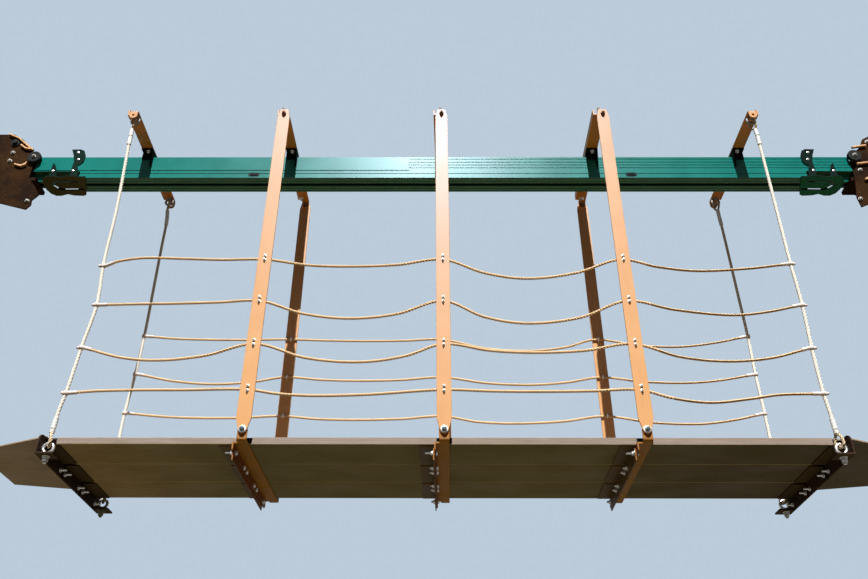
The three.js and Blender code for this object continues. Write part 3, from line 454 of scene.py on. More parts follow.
def make_finishes():
    """Finishes by name. Each has a tone, a deeper one, and a worn, stained or soiled one."""
    greens = ((0.001, 0.2, 0.17), (0.001, 0.17, 0.145), (0.12, 0.24, 0.21))
    # The under tone is painted light from the ground, taken by faces that look down.
    satin = {"roughness": 0.335, "wear": 0.72, "specular": 0.38, "under": (0.09, 0.25, 0.13)}
    green = painted_steel("green_paint", *greens, **satin)
    # The running rail gets a painted shade round its slots.
    slots = [(x, RAIL_SLOT_Z, *RAIL_SLOT_HALVES) for x in RAIL_SLOTS_X]
    rail_green = painted_steel("rail_green_paint", *greens, **satin, slots=slots)
    darks = ((0.005, 0.022, 0.017), (0.003, 0.012, 0.01), (0.05, 0.06, 0.05))
    dull = {"roughness": 0.7, "wear": 0.7, "specular": 0.04}
    dark_green = painted_steel("black_green_paint", *darks, **dull)
    # Both loops share one paint. Their under tones differ only as painted light from the ground, olive on the
    # left and green on the right.
    loop_left = painted_steel("left_loop_paint", *darks, **dull, under=(0.13, 0.125, 0.055))
    loop_right = painted_steel("right_loop_paint", *darks, **dull, under=(0.04, 0.26, 0.17))
    # Its under tone is painted light from the ground on the undersides of the arms and hangers.
    orange = painted_steel(
        "orange_paint", (0.74, 0.38, 0.14), (0.71, 0.355, 0.125), (0.5, 0.22, 0.08),
        roughness=0.39, wear=0.72, specular=0.52, under=(0.85, 0.3, 0.03),
    )
    # Its under tone is painted light from the ground on faces that look down.
    brown = painted_steel(
        "brown_paint", (0.07, 0.038, 0.024), (0.03, 0.017, 0.012), (0.16, 0.1, 0.07),
        roughness=0.75, wear=0.66, specular=0.1, under=(0.14, 0.1, 0.06),
    )
    bracket = painted_steel(
        "bracket_rust_paint", (0.042, 0.017, 0.004), (0.012, 0.005, 0.002), (0.08, 0.035, 0.01),
        roughness=0.75, wear=0.6, specular=0.05,
    )
    # Painted light: the rims' pale peach stands for sunlight on their front edges.
    peach = painted_steel(
        "rim_painted_sunlight", (0.82, 0.5, 0.28), (0.72, 0.4, 0.2), (0.3, 0.15, 0.08), roughness=0.5, specular=0.3
    )
    # Ropes: the painted highlight on the strands' crests, the tone of their sides, the painted shade in the
    # crevices and the soiling
    ropes = {
        "tan_rope": ((0.98, 0.82, 0.55), (0.88, 0.6, 0.31), (0.4, 0.18, 0.055), (0.5, 0.33, 0.15)),
        "cream_rope": ((0.98, 0.95, 0.88), (0.93, 0.88, 0.78), (0.7, 0.62, 0.5), (0.8, 0.72, 0.6)),
        "loop_rope": ((0.92, 0.82, 0.66), (0.76, 0.58, 0.38), (0.3, 0.17, 0.08), (0.44, 0.33, 0.2)),
    }
    # Metals and rubber: name, tone, deeper tone, stain, roughness, metallic, rarity of stains, specular
    metals = {
        "sleeve": ("sleeve_tape", (0.9, 0.8, 0.76), (0.76, 0.64, 0.6), (0.45, 0.32, 0.26), 0.6, 0.0, 0.62),
        "zinc": ("zinc_steel", (0.88, 0.88, 0.87), (0.7, 0.7, 0.7), (0.35, 0.25, 0.17), 0.38, 0.85, 0.68),
        "dull_zinc": ("dull_zinc", (0.42, 0.42, 0.4), (0.27, 0.27, 0.26), (0.2, 0.12, 0.07), 0.6, 0.2, 0.62),
        "ferrule": ("pressed_alloy", (0.93, 0.93, 0.9), (0.82, 0.82, 0.8), (0.55, 0.5, 0.42), 0.5, 0.2, 0.7),
        "rust": ("rusty_steel", (0.2, 0.1, 0.06), (0.09, 0.045, 0.03), (0.3, 0.13, 0.05), 0.62, 0.2, 0.5),
        "dark_steel": (
            "dark_steel", (0.1, 0.13, 0.15), (0.04, 0.055, 0.07), (0.12, 0.06, 0.03), 0.5, 0.2, 0.66,
        ),
        "rubber": (
            "black_rubber", (0.03, 0.034, 0.034), (0.014, 0.016, 0.017), (0.1, 0.1, 0.09),
            0.75, 0.0, 0.6, 0.08,
        ),
    }
    return {
        "green": brushed(green, (0.6, 0.8, 1.0), 0.49, 0.25),
        "rail_green": brushed(rail_green, (0.6, 0.8, 1.0), 0.49, 0.25),
        "dark_green": dark_green.material,
        "loop_left": loop_left.material,
        "loop_right": loop_right.material,
        "orange": brushed(orange, (0.3, 0.6, 1.0), 0.1, 0.0),
        "brown": brown.material,
        "bracket": bracket.material,
        "peach": peach.material,
        "plank": weathered_board(
            "plank_board", (0.33, 0.26, 0.22), (0.25, 0.195, 0.16), (0.35, 0.32, 0.18), (0.21, 0.185, 0.1)
        ),
        "approach": weathered_board(
            "approach_plate_paint", (0.4, 0.28, 0.18), (0.28, 0.19, 0.12),
            (0.37, 0.38, 0.32), (0.3, 0.29, 0.22),
        ),
        **{"crossmember_%d" % i: crossmember_paint(i) for i in MIDDLE_ARMS},
        **{key: rope_fibre(key, *tones) for key, tones in ropes.items()},
        **{key: bare_metal(*look) for key, look in metals.items()},
    }


# Pieces in the making
def seat(place, outward):
    """Stand at a place with the local Z axis pointing outwards."""
    return Matrix.Translation(place) @ Vector(outward).to_track_quat("Z", "Y").to_matrix().to_4x4()


def rounded_off(bm, edges, width):
    """Round edges off, and give the faces that this makes."""
    return bmesh.ops.bevel(
        bm, geom=edges, offset=width, segments=EDGE_STEPS, profile=0.5, affect="EDGES", material=-1,
        clamp_overlap=True,
    )["faces"]


def made_object(name, bm):
    """Linked object with the mesh of a bmesh, which is used up."""
    mesh = bpy.data.meshes.new(name)
    bm.to_mesh(mesh)
    bm.free()
    made = bpy.data.objects.new(name, mesh)
    scene.collection.objects.link(made)
    return made


class Shape:
    """Shells added one after another with bmesh operators, and finished as one piece."""

    def __init__(self):
        self.bm = bmesh.new()

    def prism(self, at, sides, radius, height, rise=0.0, edge=0.0, turn=0.0):
        """Disc or hexagon standing on a seat, with its rims rounded off."""
        lift = Matrix.Translation((0, 0, rise + height / 2)) @ Matrix.Rotation(turn, 4, "Z")
        made = bmesh.ops.create_cone(
            self.bm, cap_ends=True, segments=sides, radius1=radius, radius2=radius, depth=height,
            matrix=at @ lift,
        )["verts"]
        if edge:
            caps = {f for v in made for f in v.link_faces if len(f.verts) == sides}
            rounded_off(self.bm, list({e for f in caps for e in f.edges}), edge)

    def full_turn(self, at, parts, steps):
        bmesh.ops.spin(
            self.bm, geom=parts, cent=at.translation, axis=at.col[2].xyz, dvec=(0, 0, 0),
            angle=2 * math.pi, steps=steps, use_merge=True, use_duplicate=False,
        )

    def lathe(self, at, outline, steps=24, closed=False):
        """Outline of (radius, height) places turned round the seat's axis."""
        verts = [self.bm.verts.new(at @ Vector((r, 0, h))) for r, h in outline]
        pairs = list(zip(verts, verts[1:])) + ([(verts[-1], verts[0])] if closed else [])
        edges = [self.bm.edges.new(pair) for pair in pairs]
        before = len(self.bm.verts) - len(verts)
        self.full_turn(at, verts + edges, steps)
        if not closed:
            self.bm.verts.ensure_lookup_table()
            bmesh.ops.remove_doubles(self.bm, verts=self.bm.verts[before:], dist=1e-6)

    def ring(self, at, radius, tube, steps=40, sides=14):
        place = at @ Matrix.Translation((radius, 0, 0)) @ Matrix.Rotation(math.pi / 2, 4, "X")
        made = bmesh.ops.create_circle(self.bm, segments=sides, radius=tube, matrix=place)["verts"]
        self.full_turn(at, made + list({e for v in made for e in v.link_edges}), steps)

    def block(self, low, high, edge):
        """Box between two corners with every edge rounded off."""
        size = Vector(high) - Vector(low)
        place = Matrix.Translation((Vector(low) + Vector(high)) / 2) @ Matrix.Diagonal((*size, 1))
        made = bmesh.ops.create_cube(self.bm, size=1.0, matrix=place)["verts"]
        rounded_off(self.bm, list({e for v in made for e in v.link_edges}), edge)

    def washer(self, at, radius, thickness=0.0024):
        self.prism(at, 28, radius, thickness, edge=0.0005)

    def plate_washer(self, at, radius, thickness):
        self.prism(at, 30, radius, thickness, edge=0.0006)

    def nut(self, at, across, height, rise=0.0, turn=0.0):
        """Hexagon with a turned chamfer on its outer corners."""
        self.prism(at, 6, across / math.sqrt(3), height, rise, 0.0011, turn)

    def thread(self, at, radius, length, rise=0.0, pitch=0.002):
        """Stud whose thread shows as close grooves, with a chamfered tip."""
        count = max(2, round(length / pitch))
        outline = [(0.0, rise)]
        for i in range(count):
            groove, ridge = (rise + length * (i + share) / count for share in (0, 0.5))
            outline += [(radius * 0.87, groove), (radius, ridge)]
        outline += [(radius * 0.8, rise + length), (0.0, rise + length)]
        self.lathe(at, outline, 14)

    def nut_end(self, at, size, tail, washer=1.15, turn=0.0):
        """Washer, nut and the stud's tail, for a bolt of that diameter."""
        self.washer(at, size * washer, 0.16 * size)
        self.nut(at, 1.55 * size, 0.7 * size, 0.16 * size, turn)
        self.thread(at, size / 2, tail, 0.5 * size)

    def head_end(self, at, size, washer=1.15, turn=0.0):
        """Washer and hexagon head."""
        self.washer(at, size * washer, 0.16 * size)
        self.nut(at, 1.5 * size, 0.55 * size, 0.16 * size, turn)

    def u_bolt(self, x, side, z):
        """Round bar bent round a side rope, with both legs out through the hanger."""
        radius, wire = 0.013, 0.0039
        centre = Vector((x, side * SIDE_ROPE_Y, z))
        place = Matrix.Translation(centre + Vector((0, 0, radius))) @ Matrix.Rotation(math.pi / 2, 4, "X")
        made = bmesh.ops.create_circle(self.bm, segments=12, radius=wire, matrix=place)["verts"]
        edges = list({e for v in made for e in v.link_edges})
        bend = bmesh.ops.spin(
            self.bm, geom=made + edges, cent=centre, axis=(1, 0, 0), dvec=(0, 0, 0),
            angle=math.pi * side, steps=16, use_merge=False, use_duplicate=False,
        )["geom_last"]
        ends = edges + [e for e in bend if isinstance(e, bmesh.types.BMEdge)]
        legs = bmesh.ops.extrude_edge_only(self.bm, edges=ends)["geom"]
        tips = [v for v in legs if isinstance(v, bmesh.types.BMVert)]
        bmesh.ops.translate(self.bm, verts=tips, vec=(0, side * (HANGER_OUTER_Y - SIDE_ROPE_Y), 0))
        rims = [e for e in legs if isinstance(e, bmesh.types.BMEdge) and e.is_boundary]
        bmesh.ops.holes_fill(self.bm, edges=rims, sides=0)
        for lift in (-radius, radius):
            at = seat((x, side * HANGER_OUTER_Y, z + lift), (0, side, 0))
            self.washer(at, 0.0085, 0.0014)
            self.nut(at, 0.013, 0.0062, 0.0014, 0.3)
            self.thread(at, wire, 0.0095, 0.0066)

    def ribbon(self, line, start, finish, thickness):
        """Narrow flange along a line of (x, z) places, between two Y values."""
        verts = [self.bm.verts.new((x, start, z)) for x, z in line]
        edges = [self.bm.edges.new(pair) for pair in zip(verts, verts[1:])]
        wall = bmesh.ops.extrude_edge_only(self.bm, edges=edges)["geom"]
        moved = [v for v in wall if isinstance(v, bmesh.types.BMVert)]
        bmesh.ops.translate(self.bm, verts=moved, vec=(0, finish - start, 0))
        faces = [f for f in wall if isinstance(f, bmesh.types.BMFace)]
        bmesh.ops.recalc_face_normals(self.bm, faces=faces)
        bmesh.ops.solidify(self.bm, geom=faces, thickness=thickness)

    def done(self, name, finish, slot=None, smooth=38.0):
        """Piece with its sharp edges kept, which are those over so many degrees."""
        bmesh.ops.recalc_face_normals(self.bm, faces=self.bm.faces)
        limit = math.radians(smooth)
        for face in self.bm.faces:
            face.smooth = True
        for edge in self.bm.edges:
            edge.smooth = len(edge.link_faces) == 2 and edge.calc_face_angle(0.0) < limit
        finished(made_object(name, self.bm), finish)


def finished(piece, finish, stands_for=()):
    """Give a piece its surface, its body and the nodes that it stands for."""
    piece.data.materials.append(finishes[finish])
    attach(piece, "root")
    if stands_for:
        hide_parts(*stands_for)


# Ropes
def smooth_line(places, step):
    """Places a step apart along the centripetal curve through the given ones."""
    tries = 24
    given = [Vector(p) for p in places]
    given = [2 * given[0] - given[1]] + given + [2 * given[-1] - given[-2]]
    dense = []
    for a, b, c, d in zip(given, given[1:], given[2:], given[3:]):
        ta, tb, tc = (math.sqrt((q - p).length) for p, q in ((a, b), (b, c), (c, d)))
        start = ((b - a) / ta - (c - a) / (ta + tb) + (c - b) / tb) * tb
        end = ((c - b) / tb - (d - b) / (tb + tc) + (d - c) / tc) * tb
        bend = 3 * (c - b) - 2 * start - end
        twist = 2 * (b - c) + start + end
        for i in range(tries):
            t = i / tries
            dense.append(b + start * t + bend * t * t + twist * t * t * t)
    dense.append(given[-2])
    reach = [0.0]
    for p, q in zip(dense, dense[1:]):
        reach.append(reach[-1] + (q - p).length)
    count = max(2, round(reach[-1] / step))
    line, k = [], 0
    for i in range(count + 1):
        want = reach[-1] * i / count
        while k < len(dense) - 2 and reach[k + 1] < want:
            k += 1
        share = (want - reach[k]) / (reach[k + 1] - reach[k])
        line.append(dense[k].lerp(dense[k + 1], share))
    return line


# One strand of a laid rope: angle in degrees, share of the rope's radius, and height as a tone from 0 to 1,
# which sets the painted crevice shade and crest highlight
LOBE = ((-60, 0.62, 0.0), (-36, 0.774, 0.45), (-12, 0.975, 1.0), (12, 0.975, 1.0), (36, 0.774, 0.45))


def laid_section(radius, depth):
    """Section of three strands, as places and how high each stands, with crevices of that depth."""
    section = []
    for strand in range(3):
        for angle, reach, crown in LOBE:
            turn = math.radians(angle + 120 * strand)
            out = radius * (1 - depth * (1 - reach))
            section.append((out * math.cos(turn), out * math.sin(turn), crown))
    return section


def round_section(radius):
    turns = [math.radians(20 * i) for i in range(18)]
    return [(radius * math.cos(t), radius * math.sin(t), 0.8) for t in turns]


def swept(name, line, section, pitch=None, thin_ends=None):
    """Section carried along a line and turned once every pitch, with its lay kept as attributes."""
    profile = bpy.data.curves.new(name + "_section", "CURVE")
    outline = profile.splines.new("POLY")
    outline.points.add(len(section) - 1)
    for point, (x, y, _) in zip(outline.points, section):
        point.co = (x, y, 0, 1)
    outline.use_cyclic_u = True
    shaper = bpy.data.objects.new(name + "_section", profile)
    scene.collection.objects.link(shaper)
    path = bpy.data.curves.new(name + "_line", "CURVE")
    path.dimensions = "3D"
    path.twist_mode = "MINIMUM"
    path.bevel_mode = "OBJECT"
    path.bevel_object = shaper
    route = path.splines.new("POLY")
    route.points.add(len(line) - 1)
    along = [0.0]
    for p, q in zip(line, line[1:]):
        along.append(along[-1] + (q - p).length)
    for i, (point, place) in enumerate(zip(route.points, line)):
        point.co = (*place, 1)
        point.tilt = 2 * math.pi * along[i] / pitch if pitch else 0.0
        point.radius = thin_ends if thin_ends and i in (0, len(line) - 1) else 1.0
    carrier = bpy.data.objects.new(name + "_line", path)
    scene.collection.objects.link(carrier)
    depsgraph = bpy.context.evaluated_depsgraph_get()
    raw = bpy.data.meshes.new_from_object(carrier.evaluated_get(depsgraph))
    bm = bmesh.new()
    bm.from_mesh(raw)
    lay = bm.verts.layers.float_vector.new("lay")
    crown = bm.verts.layers.float.new("crown")
    bm.verts.ensure_lookup_table()
    for i, vert in enumerate(bm.verts):
        ring, place = divmod(i, len(section))
        x, y, high = section[place]
        vert[lay] = (x, y, along[min(ring, len(along) - 1)])
        vert[crown] = high
    open_edges = [e for e in bm.edges if e.is_boundary]
    bmesh.ops.holes_fill(bm, edges=open_edges, sides=0)
    bmesh.ops.recalc_face_normals(bm, faces=bm.faces)
    for face in bm.faces:
        face.smooth = len(face.verts) == 4
    for data in (carrier, shaper):
        bpy.data.objects.remove(data)
    for data in (path, profile):
        bpy.data.curves.remove(data)
    bpy.data.meshes.remove(raw)
    return bm


def joined(name, strips, finish, stands_for=()):
    """Swept strips put together as one piece."""
    whole = bmesh.new()
    for strip in strips:
        part = bpy.data.meshes.new(name + "_part")
        strip.to_mesh(part)
        strip.free()
        whole.from_mesh(part)
        bpy.data.meshes.remove(part)
    finished(made_object(name, whole), finish, stands_for)


def end_rope_lines():
    lines = {}
    for key, route in END_ROUTES.items():
        side = -1 if key.startswith("near") else 1
        lines[key] = smooth_line([(MIDDLE + x, side * END_ROPE_Y, z) for x, z in route], ROPE_STEP)
    return lines


def place_at(line, z):
    """Place on an end rope at a height, and the rope's upward direction there."""
    for p, q in zip(line, line[1:]):
        if q.z <= z <= p.z or q is line[-1]:
            return p.lerp(q, (z - p.z) / (q.z - p.z)), (p - q).normalized()
    return line[0], (line[0] - line[1]).normalized()


def hooked_loop(tube, foot, way):
    """Line of the loop from its ferrule at foot round the ring's tube and back."""
    drop = abs(tube.z - foot.z)
    across = [
        (0.006, -drop - 0.01), (0.008, -drop + 0.004), (0.019, -drop * 0.55), (0.0235, -0.008),
        (0.0215, 0.0065), (0.012, 0.015), (0.0, 0.0159),
    ]
    places = [(-s, z) for s, z in across[:-1]] + across[::-1]
    yaw = math.radians(28)
    line = []
    for s, z in places:
        share = max(0.0, -z) / drop
        x = tube.x + (foot.x - tube.x) * share + s * math.sin(yaw)
        y = tube.y + (foot.y - tube.y) * share - s * math.cos(yaw)
        line.append((x, y, tube.z + way * z))
    return smooth_line(line, 0.003)


def ferrule_shell(shape, line, top, bottom):
    """Sleeve pressed round an end rope, with three shallow press marks."""
    upper, _ = place_at(line, top)
    lower, _ = place_at(line, bottom)
    at = seat((upper + lower) / 2, upper - lower)
    half = (upper - lower).length / 2
    bore, mouth, pressed = 0.0086, 0.0118, FERRULE_RADIUS - 0.0004
    outline = [(bore, -half), (mouth, -half), (FERRULE_RADIUS, -half + 0.002)]
    for mark in (-0.5, 0.0, 0.5):
        outline += [(FERRULE_RADIUS, half * mark - 0.004), (pressed, half * mark - 0.002)]
        outline += [(pressed, half * mark + 0.002), (FERRULE_RADIUS, half * mark + 0.004)]
    outline += [(FERRULE_RADIUS, half - 0.002), (mouth, half), (bore, half)]
    shape.lathe(at, outline, 28, closed=True)


def dress_end_ropes(lines):
    """Four laid ropes, their ferrules, and the loops that hold the rings above and below."""
    strands = laid_section(END_ROPE_RADIUS, 0.35)
    loop_strands = laid_section(LOOP_RADIUS, 0.8)
    for key, name, side, way_out in CORNERS:
        line = lines[key]
        rope = swept("end_rope_" + key, line, strands, END_ROPE_LAY)
        joined("end_rope_line_" + key, [rope], "cream_rope", ["end_rope_" + key])
        rings = (
            ("top", STATIONS[4], TOP_EYE_Z - EYE_RADIUS, line[0], 1),
            ("low", BOTTOM_EYE_OUT, BOTTOM_EYE_Z + EYE_RADIUS, line[-1], -1),
        )
        for place, out, z, foot, way in rings:
            tube = Vector((MIDDLE + way_out * out, side * END_ROPE_Y, z))
            label = "%s_loop_%s" % (place, key)
            loop = swept(label, hooked_loop(tube, foot, way), loop_strands, LOOP_LAY)
            joined("end_rope_" + label, [loop], "loop_rope")
        ferrules = Shape()
        for upper, lower in TOP_FERRULES + LOW_FERRULES[name]:
            ferrule_shell(ferrules, line, upper, lower)
        ferrules.done("end_rope_ferrules_" + key, "ferrule")


def side_rope_y(x, side):
    share = max(0.0, abs(x) - 1.0) / (STATIONS[4] - 1.0)
    return side * (SIDE_ROPE_Y + (END_ROPE_Y - SIDE_ROPE_Y) * share)


def dress_side_ropes(lines):
    """Laid side ropes with taped ends, held by collars on the end ropes."""
    strands = laid_section(SIDE_ROPE_RADIUS, 1.0)
    wall = [
        (0.0097, -0.0075), (0.0112, -0.009), (0.0138, -0.009), (0.0152, -0.0072), (0.0152, 0.0072),
        (0.0138, 0.009), (0.0112, 0.009), (0.0097, 0.0075),
    ]
    knob = [(0.0, 0.0), (0.0078, 0.0), (0.0084, 0.004), (0.008, 0.0105), (0.0055, 0.0136), (0.0, 0.0145)]
    for label, route in SIDE_ROUTES.items():
        name = label.split("_")[0]
        side = dict(SIDES)[name]
        ends = []
        for (_, z), end, way_in in ((route[0], "_left", 1), (route[-1], "_right", -1)):
            ends.append((*place_at(lines[name + end], z), way_in))
        first, last = (place + Vector((way_in * COLLAR_WALL_MIDDLE, 0, 0)) for place, _, way_in in ends)
        inner = [(MIDDLE + x, side_rope_y(x, side), z) for x, z in route[1:-1]]
        line = smooth_line([first, *inner, last], ROPE_STEP)
        rope = swept("side_rope_" + label, line, strands, SIDE_ROPE_LAY)
        joined("side_rope_line_" + label, [rope], "tan_rope", ["side_rope_" + label])
        strips = [
            swept("sleeve_" + label, part, round_section(SLEEVE_RADIUS), thin_ends=0.86)
            for part in (line[:SLEEVE_STEPS], line[-SLEEVE_STEPS:])
        ]
        joined("side_rope_sleeves_" + label, strips, "sleeve")
        collars = Shape()
        for place, up, way_in in ends:
            collars.lathe(seat(place, up), wall, 28, closed=True)
            if name == "near":
                nub = seat(place - Vector((way_in * 0.0125, 0, 0)), (-way_in, 0, 0))
                collars.lathe(nub, knob, 18)
        collars.done("side_rope_collars_" + label, "sleeve")


# Fasteners
# How far the studs at the arms' ends stand back from the arm's middle
STUD_BACK = {2: 0.024, 3: 0.008, 4: 0.008}


def skew(ends, index, y):
    """Shift along X of a slanting arm or crossmember at a place across the bridge."""
    near, far = ends.get(index, (0.0, 0.0))
    return (near + far) / 2 + (far - near) * y / (2 * TAB_Y)


def hanger_x(index, side, z):
    """Middle line of a leaning hanger at a height."""
    end = 0 if side < 0 else 1
    foot, top = CROSSMEMBER_ENDS[index][end], ARM_ENDS[index][end]
    share = (z - FOOT_BOLT_Z) / (TOP_BOLT_Z - FOOT_BOLT_Z)
    return MIDDLE + STATIONS[index - 1] + foot + (top - foot) * share


def dress_hangers():
    """Bolts at both ends of each hanger, and the U-bolts that hold the side ropes."""
    for index in MIDDLE_ARMS:
        for name, side in SIDES:
            label = "%s_%d" % (name, index)

            def faces(z):
                x = hanger_x(index, side, z)
                outer = seat((x, side * HANGER_OUTER_Y, z), (0, side, 0))
                return outer, seat((x, side * (TAB_Y - ARM_THICKNESS), z), (0, -side, 0))

            outer, inner = faces(TOP_BOLT_Z)
            bolt = Shape()
            bolt.nut_end(outer, 0.015, tail=0.0155, washer=1.0, turn=0.2)
            bolt.head_end(inner, 0.016, turn=0.4)
            bolt.done("hanger_top_bolt_" + label, "rust")
            outer, inner = faces(FOOT_BOLT_Z)
            plate = Shape()
            plate.prism(outer, 36, 0.0195, 0.003, edge=0.0008)
            plate.prism(inner, 36, 0.02, 0.003, edge=0.0008)
            plate.done("hanger_foot_washer_" + label, "zinc")
            nut = Shape()
            nut.nut(outer, BIG_NUT, 0.0095, rise=0.003, turn=0.1)
            nut.nut(inner, BIG_NUT, 0.009, rise=0.003, turn=0.5)
            nut.thread(outer, 0.006, 0.005, rise=0.0115)
            nut.thread(inner, 0.008, 0.006, rise=0.012)
            nut.done("hanger_foot_nut_" + label, "dark_steel")
            clamps = Shape()
            for z in ROPE_LEVELS:
                clamps.u_bolt(hanger_x(index, side, z), side, z)
            clamps.done("rope_u_bolts_" + label, "zinc")


def dress_arms():
    """Bolts through the arms into their saddles, and the long studs at the middle arms' ends."""
    for index, station in enumerate(STATIONS, 1):
        way = -1 if index == 5 else 1
        bolts = Shape()
        for side in (-1, 1):
            y = side * SADDLE_BOLT_Y
            bolt_middle = MIDDLE + station - way * SADDLE_BOLT_BACK
            below = seat((bolt_middle + skew(ARM_ENDS, index, 0), y, SADDLE_UNDERSIDE_Z), (0, 0, -1))
            bolts.plate_washer(below, 0.0165, 0.0026)
            bolts.nut(below, BIG_NUT, 0.011, rise=0.0026, turn=0.2)
            bolts.thread(below, 0.008, 0.005, rise=0.0136)
            above = seat((bolt_middle + skew(ARM_ENDS, index, y), y, ARM_TOP_Z), (0, 0, 1))
            bolts.head_end(above, 0.016, turn=0.3)
        bolts.done("saddle_bolts_%d" % index, "zinc")
        if index in (1, 5):
            continue
        studs = Shape()
        for side in (-1, 1):
            y = side * END_ROPE_Y
            x = MIDDLE + station + skew(ARM_ENDS, index, y) - STUD_BACK[index]
            below = seat((x, y, ARM_UNDERSIDE_Z), (0, 0, -1))
            above = seat((x, y, ARM_TOP_Z), (0, 0, 1))
            studs.plate_washer(below, 0.0175, 0.003)
            studs.nut(below, BIG_NUT, 0.011, rise=0.003, turn=0.4)
            studs.washer(above, 0.017)
            studs.nut(above, BIG_NUT, 0.012, rise=0.0024, turn=0.1)
            studs.thread(above, 0.0094, 0.052, rise=0.0144)
        studs.done("arm_end_studs_%d" % index, "zinc")


def dress_eye_bolts():
    """Rings, shoulders and nuts of the four eye bolts above and the four below."""
    upper = (STATIONS[4], TOP_EYE_Z, ARM_UNDERSIDE_Z, ARM_TOP_Z, 1)
    lower = (BOTTOM_EYE_OUT, BOTTOM_EYE_Z, END_LEG_UNDERSIDE_Z, END_LEG_BOTTOM_Z, -1)
    for label, _, side, way_out in CORNERS:
        for kind, (out, ring_z, near, far, way) in (("top", upper), ("low", lower)):
            x, y = MIDDLE + way_out * out, side * END_ROPE_Y
            eye = Shape()
            eye.ring(seat((x, y, ring_z), (0, 1, 0)), EYE_RADIUS, EYE_TUBE)
            depth = abs(near - ring_z) - EYE_RADIUS
            shoulder = [
                (0.0, 0.0), (0.0145, 0.0), (0.0145, 0.0025), (0.0135, 0.0035), (0.0135, depth),
                (0.011, depth + 0.003), (0.0, depth + 0.003),
            ]
            eye.lathe(seat((x, y, near), (0, 0, -way)), shoulder, 28)
            outside = seat((x, y, far), (0, 0, way))
            eye.plate_washer(outside, 0.0185, 0.0025)
            eye.nut(outside, 0.0272, 0.012, rise=0.0025)
            eye.nut(outside, 0.0258, 0.0118, rise=0.0152, turn=0.3)
            eye.thread(outside, 0.0084, 0.0095, rise=0.027)
            # The far left lower ring takes the dull zinc as painted shade, for it lies in the deck's shade.
            bright = kind == "low" and label != "far_left"
            eye.done("eye_bolt_%s_%s" % (kind, label), "zinc" if bright else "dull_zinc")


def dress_crossmembers():
    """Bolts through the clip angles: heads on one face of the leg, nuts and tails on the other."""
    rows = [(MIDDLE + STATIONS[i - 1], i, "crossmember", str(i)) for i in MIDDLE_ARMS]
    rows += [(MIDDLE, way_out, "end_crossmember", end) for end, way_out in ENDS]
    for middle, which, kind, label in rows:
        heads, tails = Shape(), Shape()
        for row, y in enumerate(CROSSMEMBER_BOLT_ROWS):
            if kind == "crossmember":
                x = middle + skew(CROSSMEMBER_ENDS, which, y)
                front, z, way, size = x - CLIP_FACE_BACK, CLIP_BOLT_Z, 1, 0.0135
                tail = 0.034 if row == 0 else 0.016
            else:
                front, z, way, size = middle + which * END_LEG_OUT, END_BOLT_Z, which, 0.012
                tail = 0.03
            heads.head_end(seat((front, y, z), (way, 0, 0)), size, turn=0.3 * row)
            back = front - way * LEG_AND_CLIP
            tails.nut_end(seat((back, y, z), (-way, 0, 0)), size, tail, turn=0.5 * row)
        heads.done("%s_bolt_heads_%s" % (kind, label), "zinc")
        tails.done("%s_bolt_nuts_%s" % (kind, label), "zinc")


# Places on the beam's ends, as distances out from the bridge's middle and heights
LUG_DEPTH = 0.2
LOOP_BOLTS = ((2.459, 0.124), (2.443, 0.062), (2.457, -0.036), (2.59, -0.038))
HUB_PLACE = (2.9, 0.206)
STOP_AXLES = {"left": (2.732, 0.066), "right": (2.748, 0.076)}
# Bracket bolts have their size as the third value
BRACKET_BOLTS = {
    "left": ((2.898, 0.045, 0.013), (2.896, 0.117, 0.013), (2.691, -0.299, 0.013)),
    "right": ((2.763, -0.037, 0.013), (2.698, -0.283, 0.013), (2.88, 0.211, 0.016)),
}
# Bent rims of the brackets' near cheeks
BRACKET_RIMS = {
    "left": (
        ((2.956, 0.282), (2.885, 0.249), (2.756, 0.138)),
        ((2.85, 0.185), (2.811, 0.153), (2.776, 0.148)),
        ((2.852, 0.005), (2.811, -0.012), (2.777, 0.001), (2.77, 0.023)),
    ),
    "right": (
        ((2.755, 0.159), (2.851, 0.177)),
        ((2.75, 0.005), (2.83, 0.016)),
        ((2.765, -0.123), (2.796, -0.106)),
    ),
}
# The bypass loops' inner edge slants from one place, out and across the bridge, to the other
LOOP_END_NEAR = (2.358, -0.088)
LOOP_END_FAR = (2.412, 0.088)


def dress_deck_gaps():
    """Dark blocks in the gaps between the boards, at both edges of the deck: they close the gaps, and their
    black is painted shade for the shade that lies in them.
    """
    inset, slack, depth = 0.002, 0.0005, 0.03
    for index in MIDDLE_ARMS:
        low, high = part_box("plank_bay_%d_row_1" % (index - 1))
        middle = MIDDLE + STATIONS[index - 1]
        half = middle - high[0] - slack
        outer = abs(low[1]) - inset
        blocks = Shape()
        for edges in ((-outer, depth - outer), (outer - depth, outer)):
            bottom = (middle - half, edges[0], low[2] + LIP_THICKNESS)
            blocks.block(bottom, (middle + half, edges[1], high[2] - inset), 0.0012)
        # Their black rubber is painted shade.
        blocks.done("deck_gap_blocks_%d" % index, "rubber", "black_rubber")


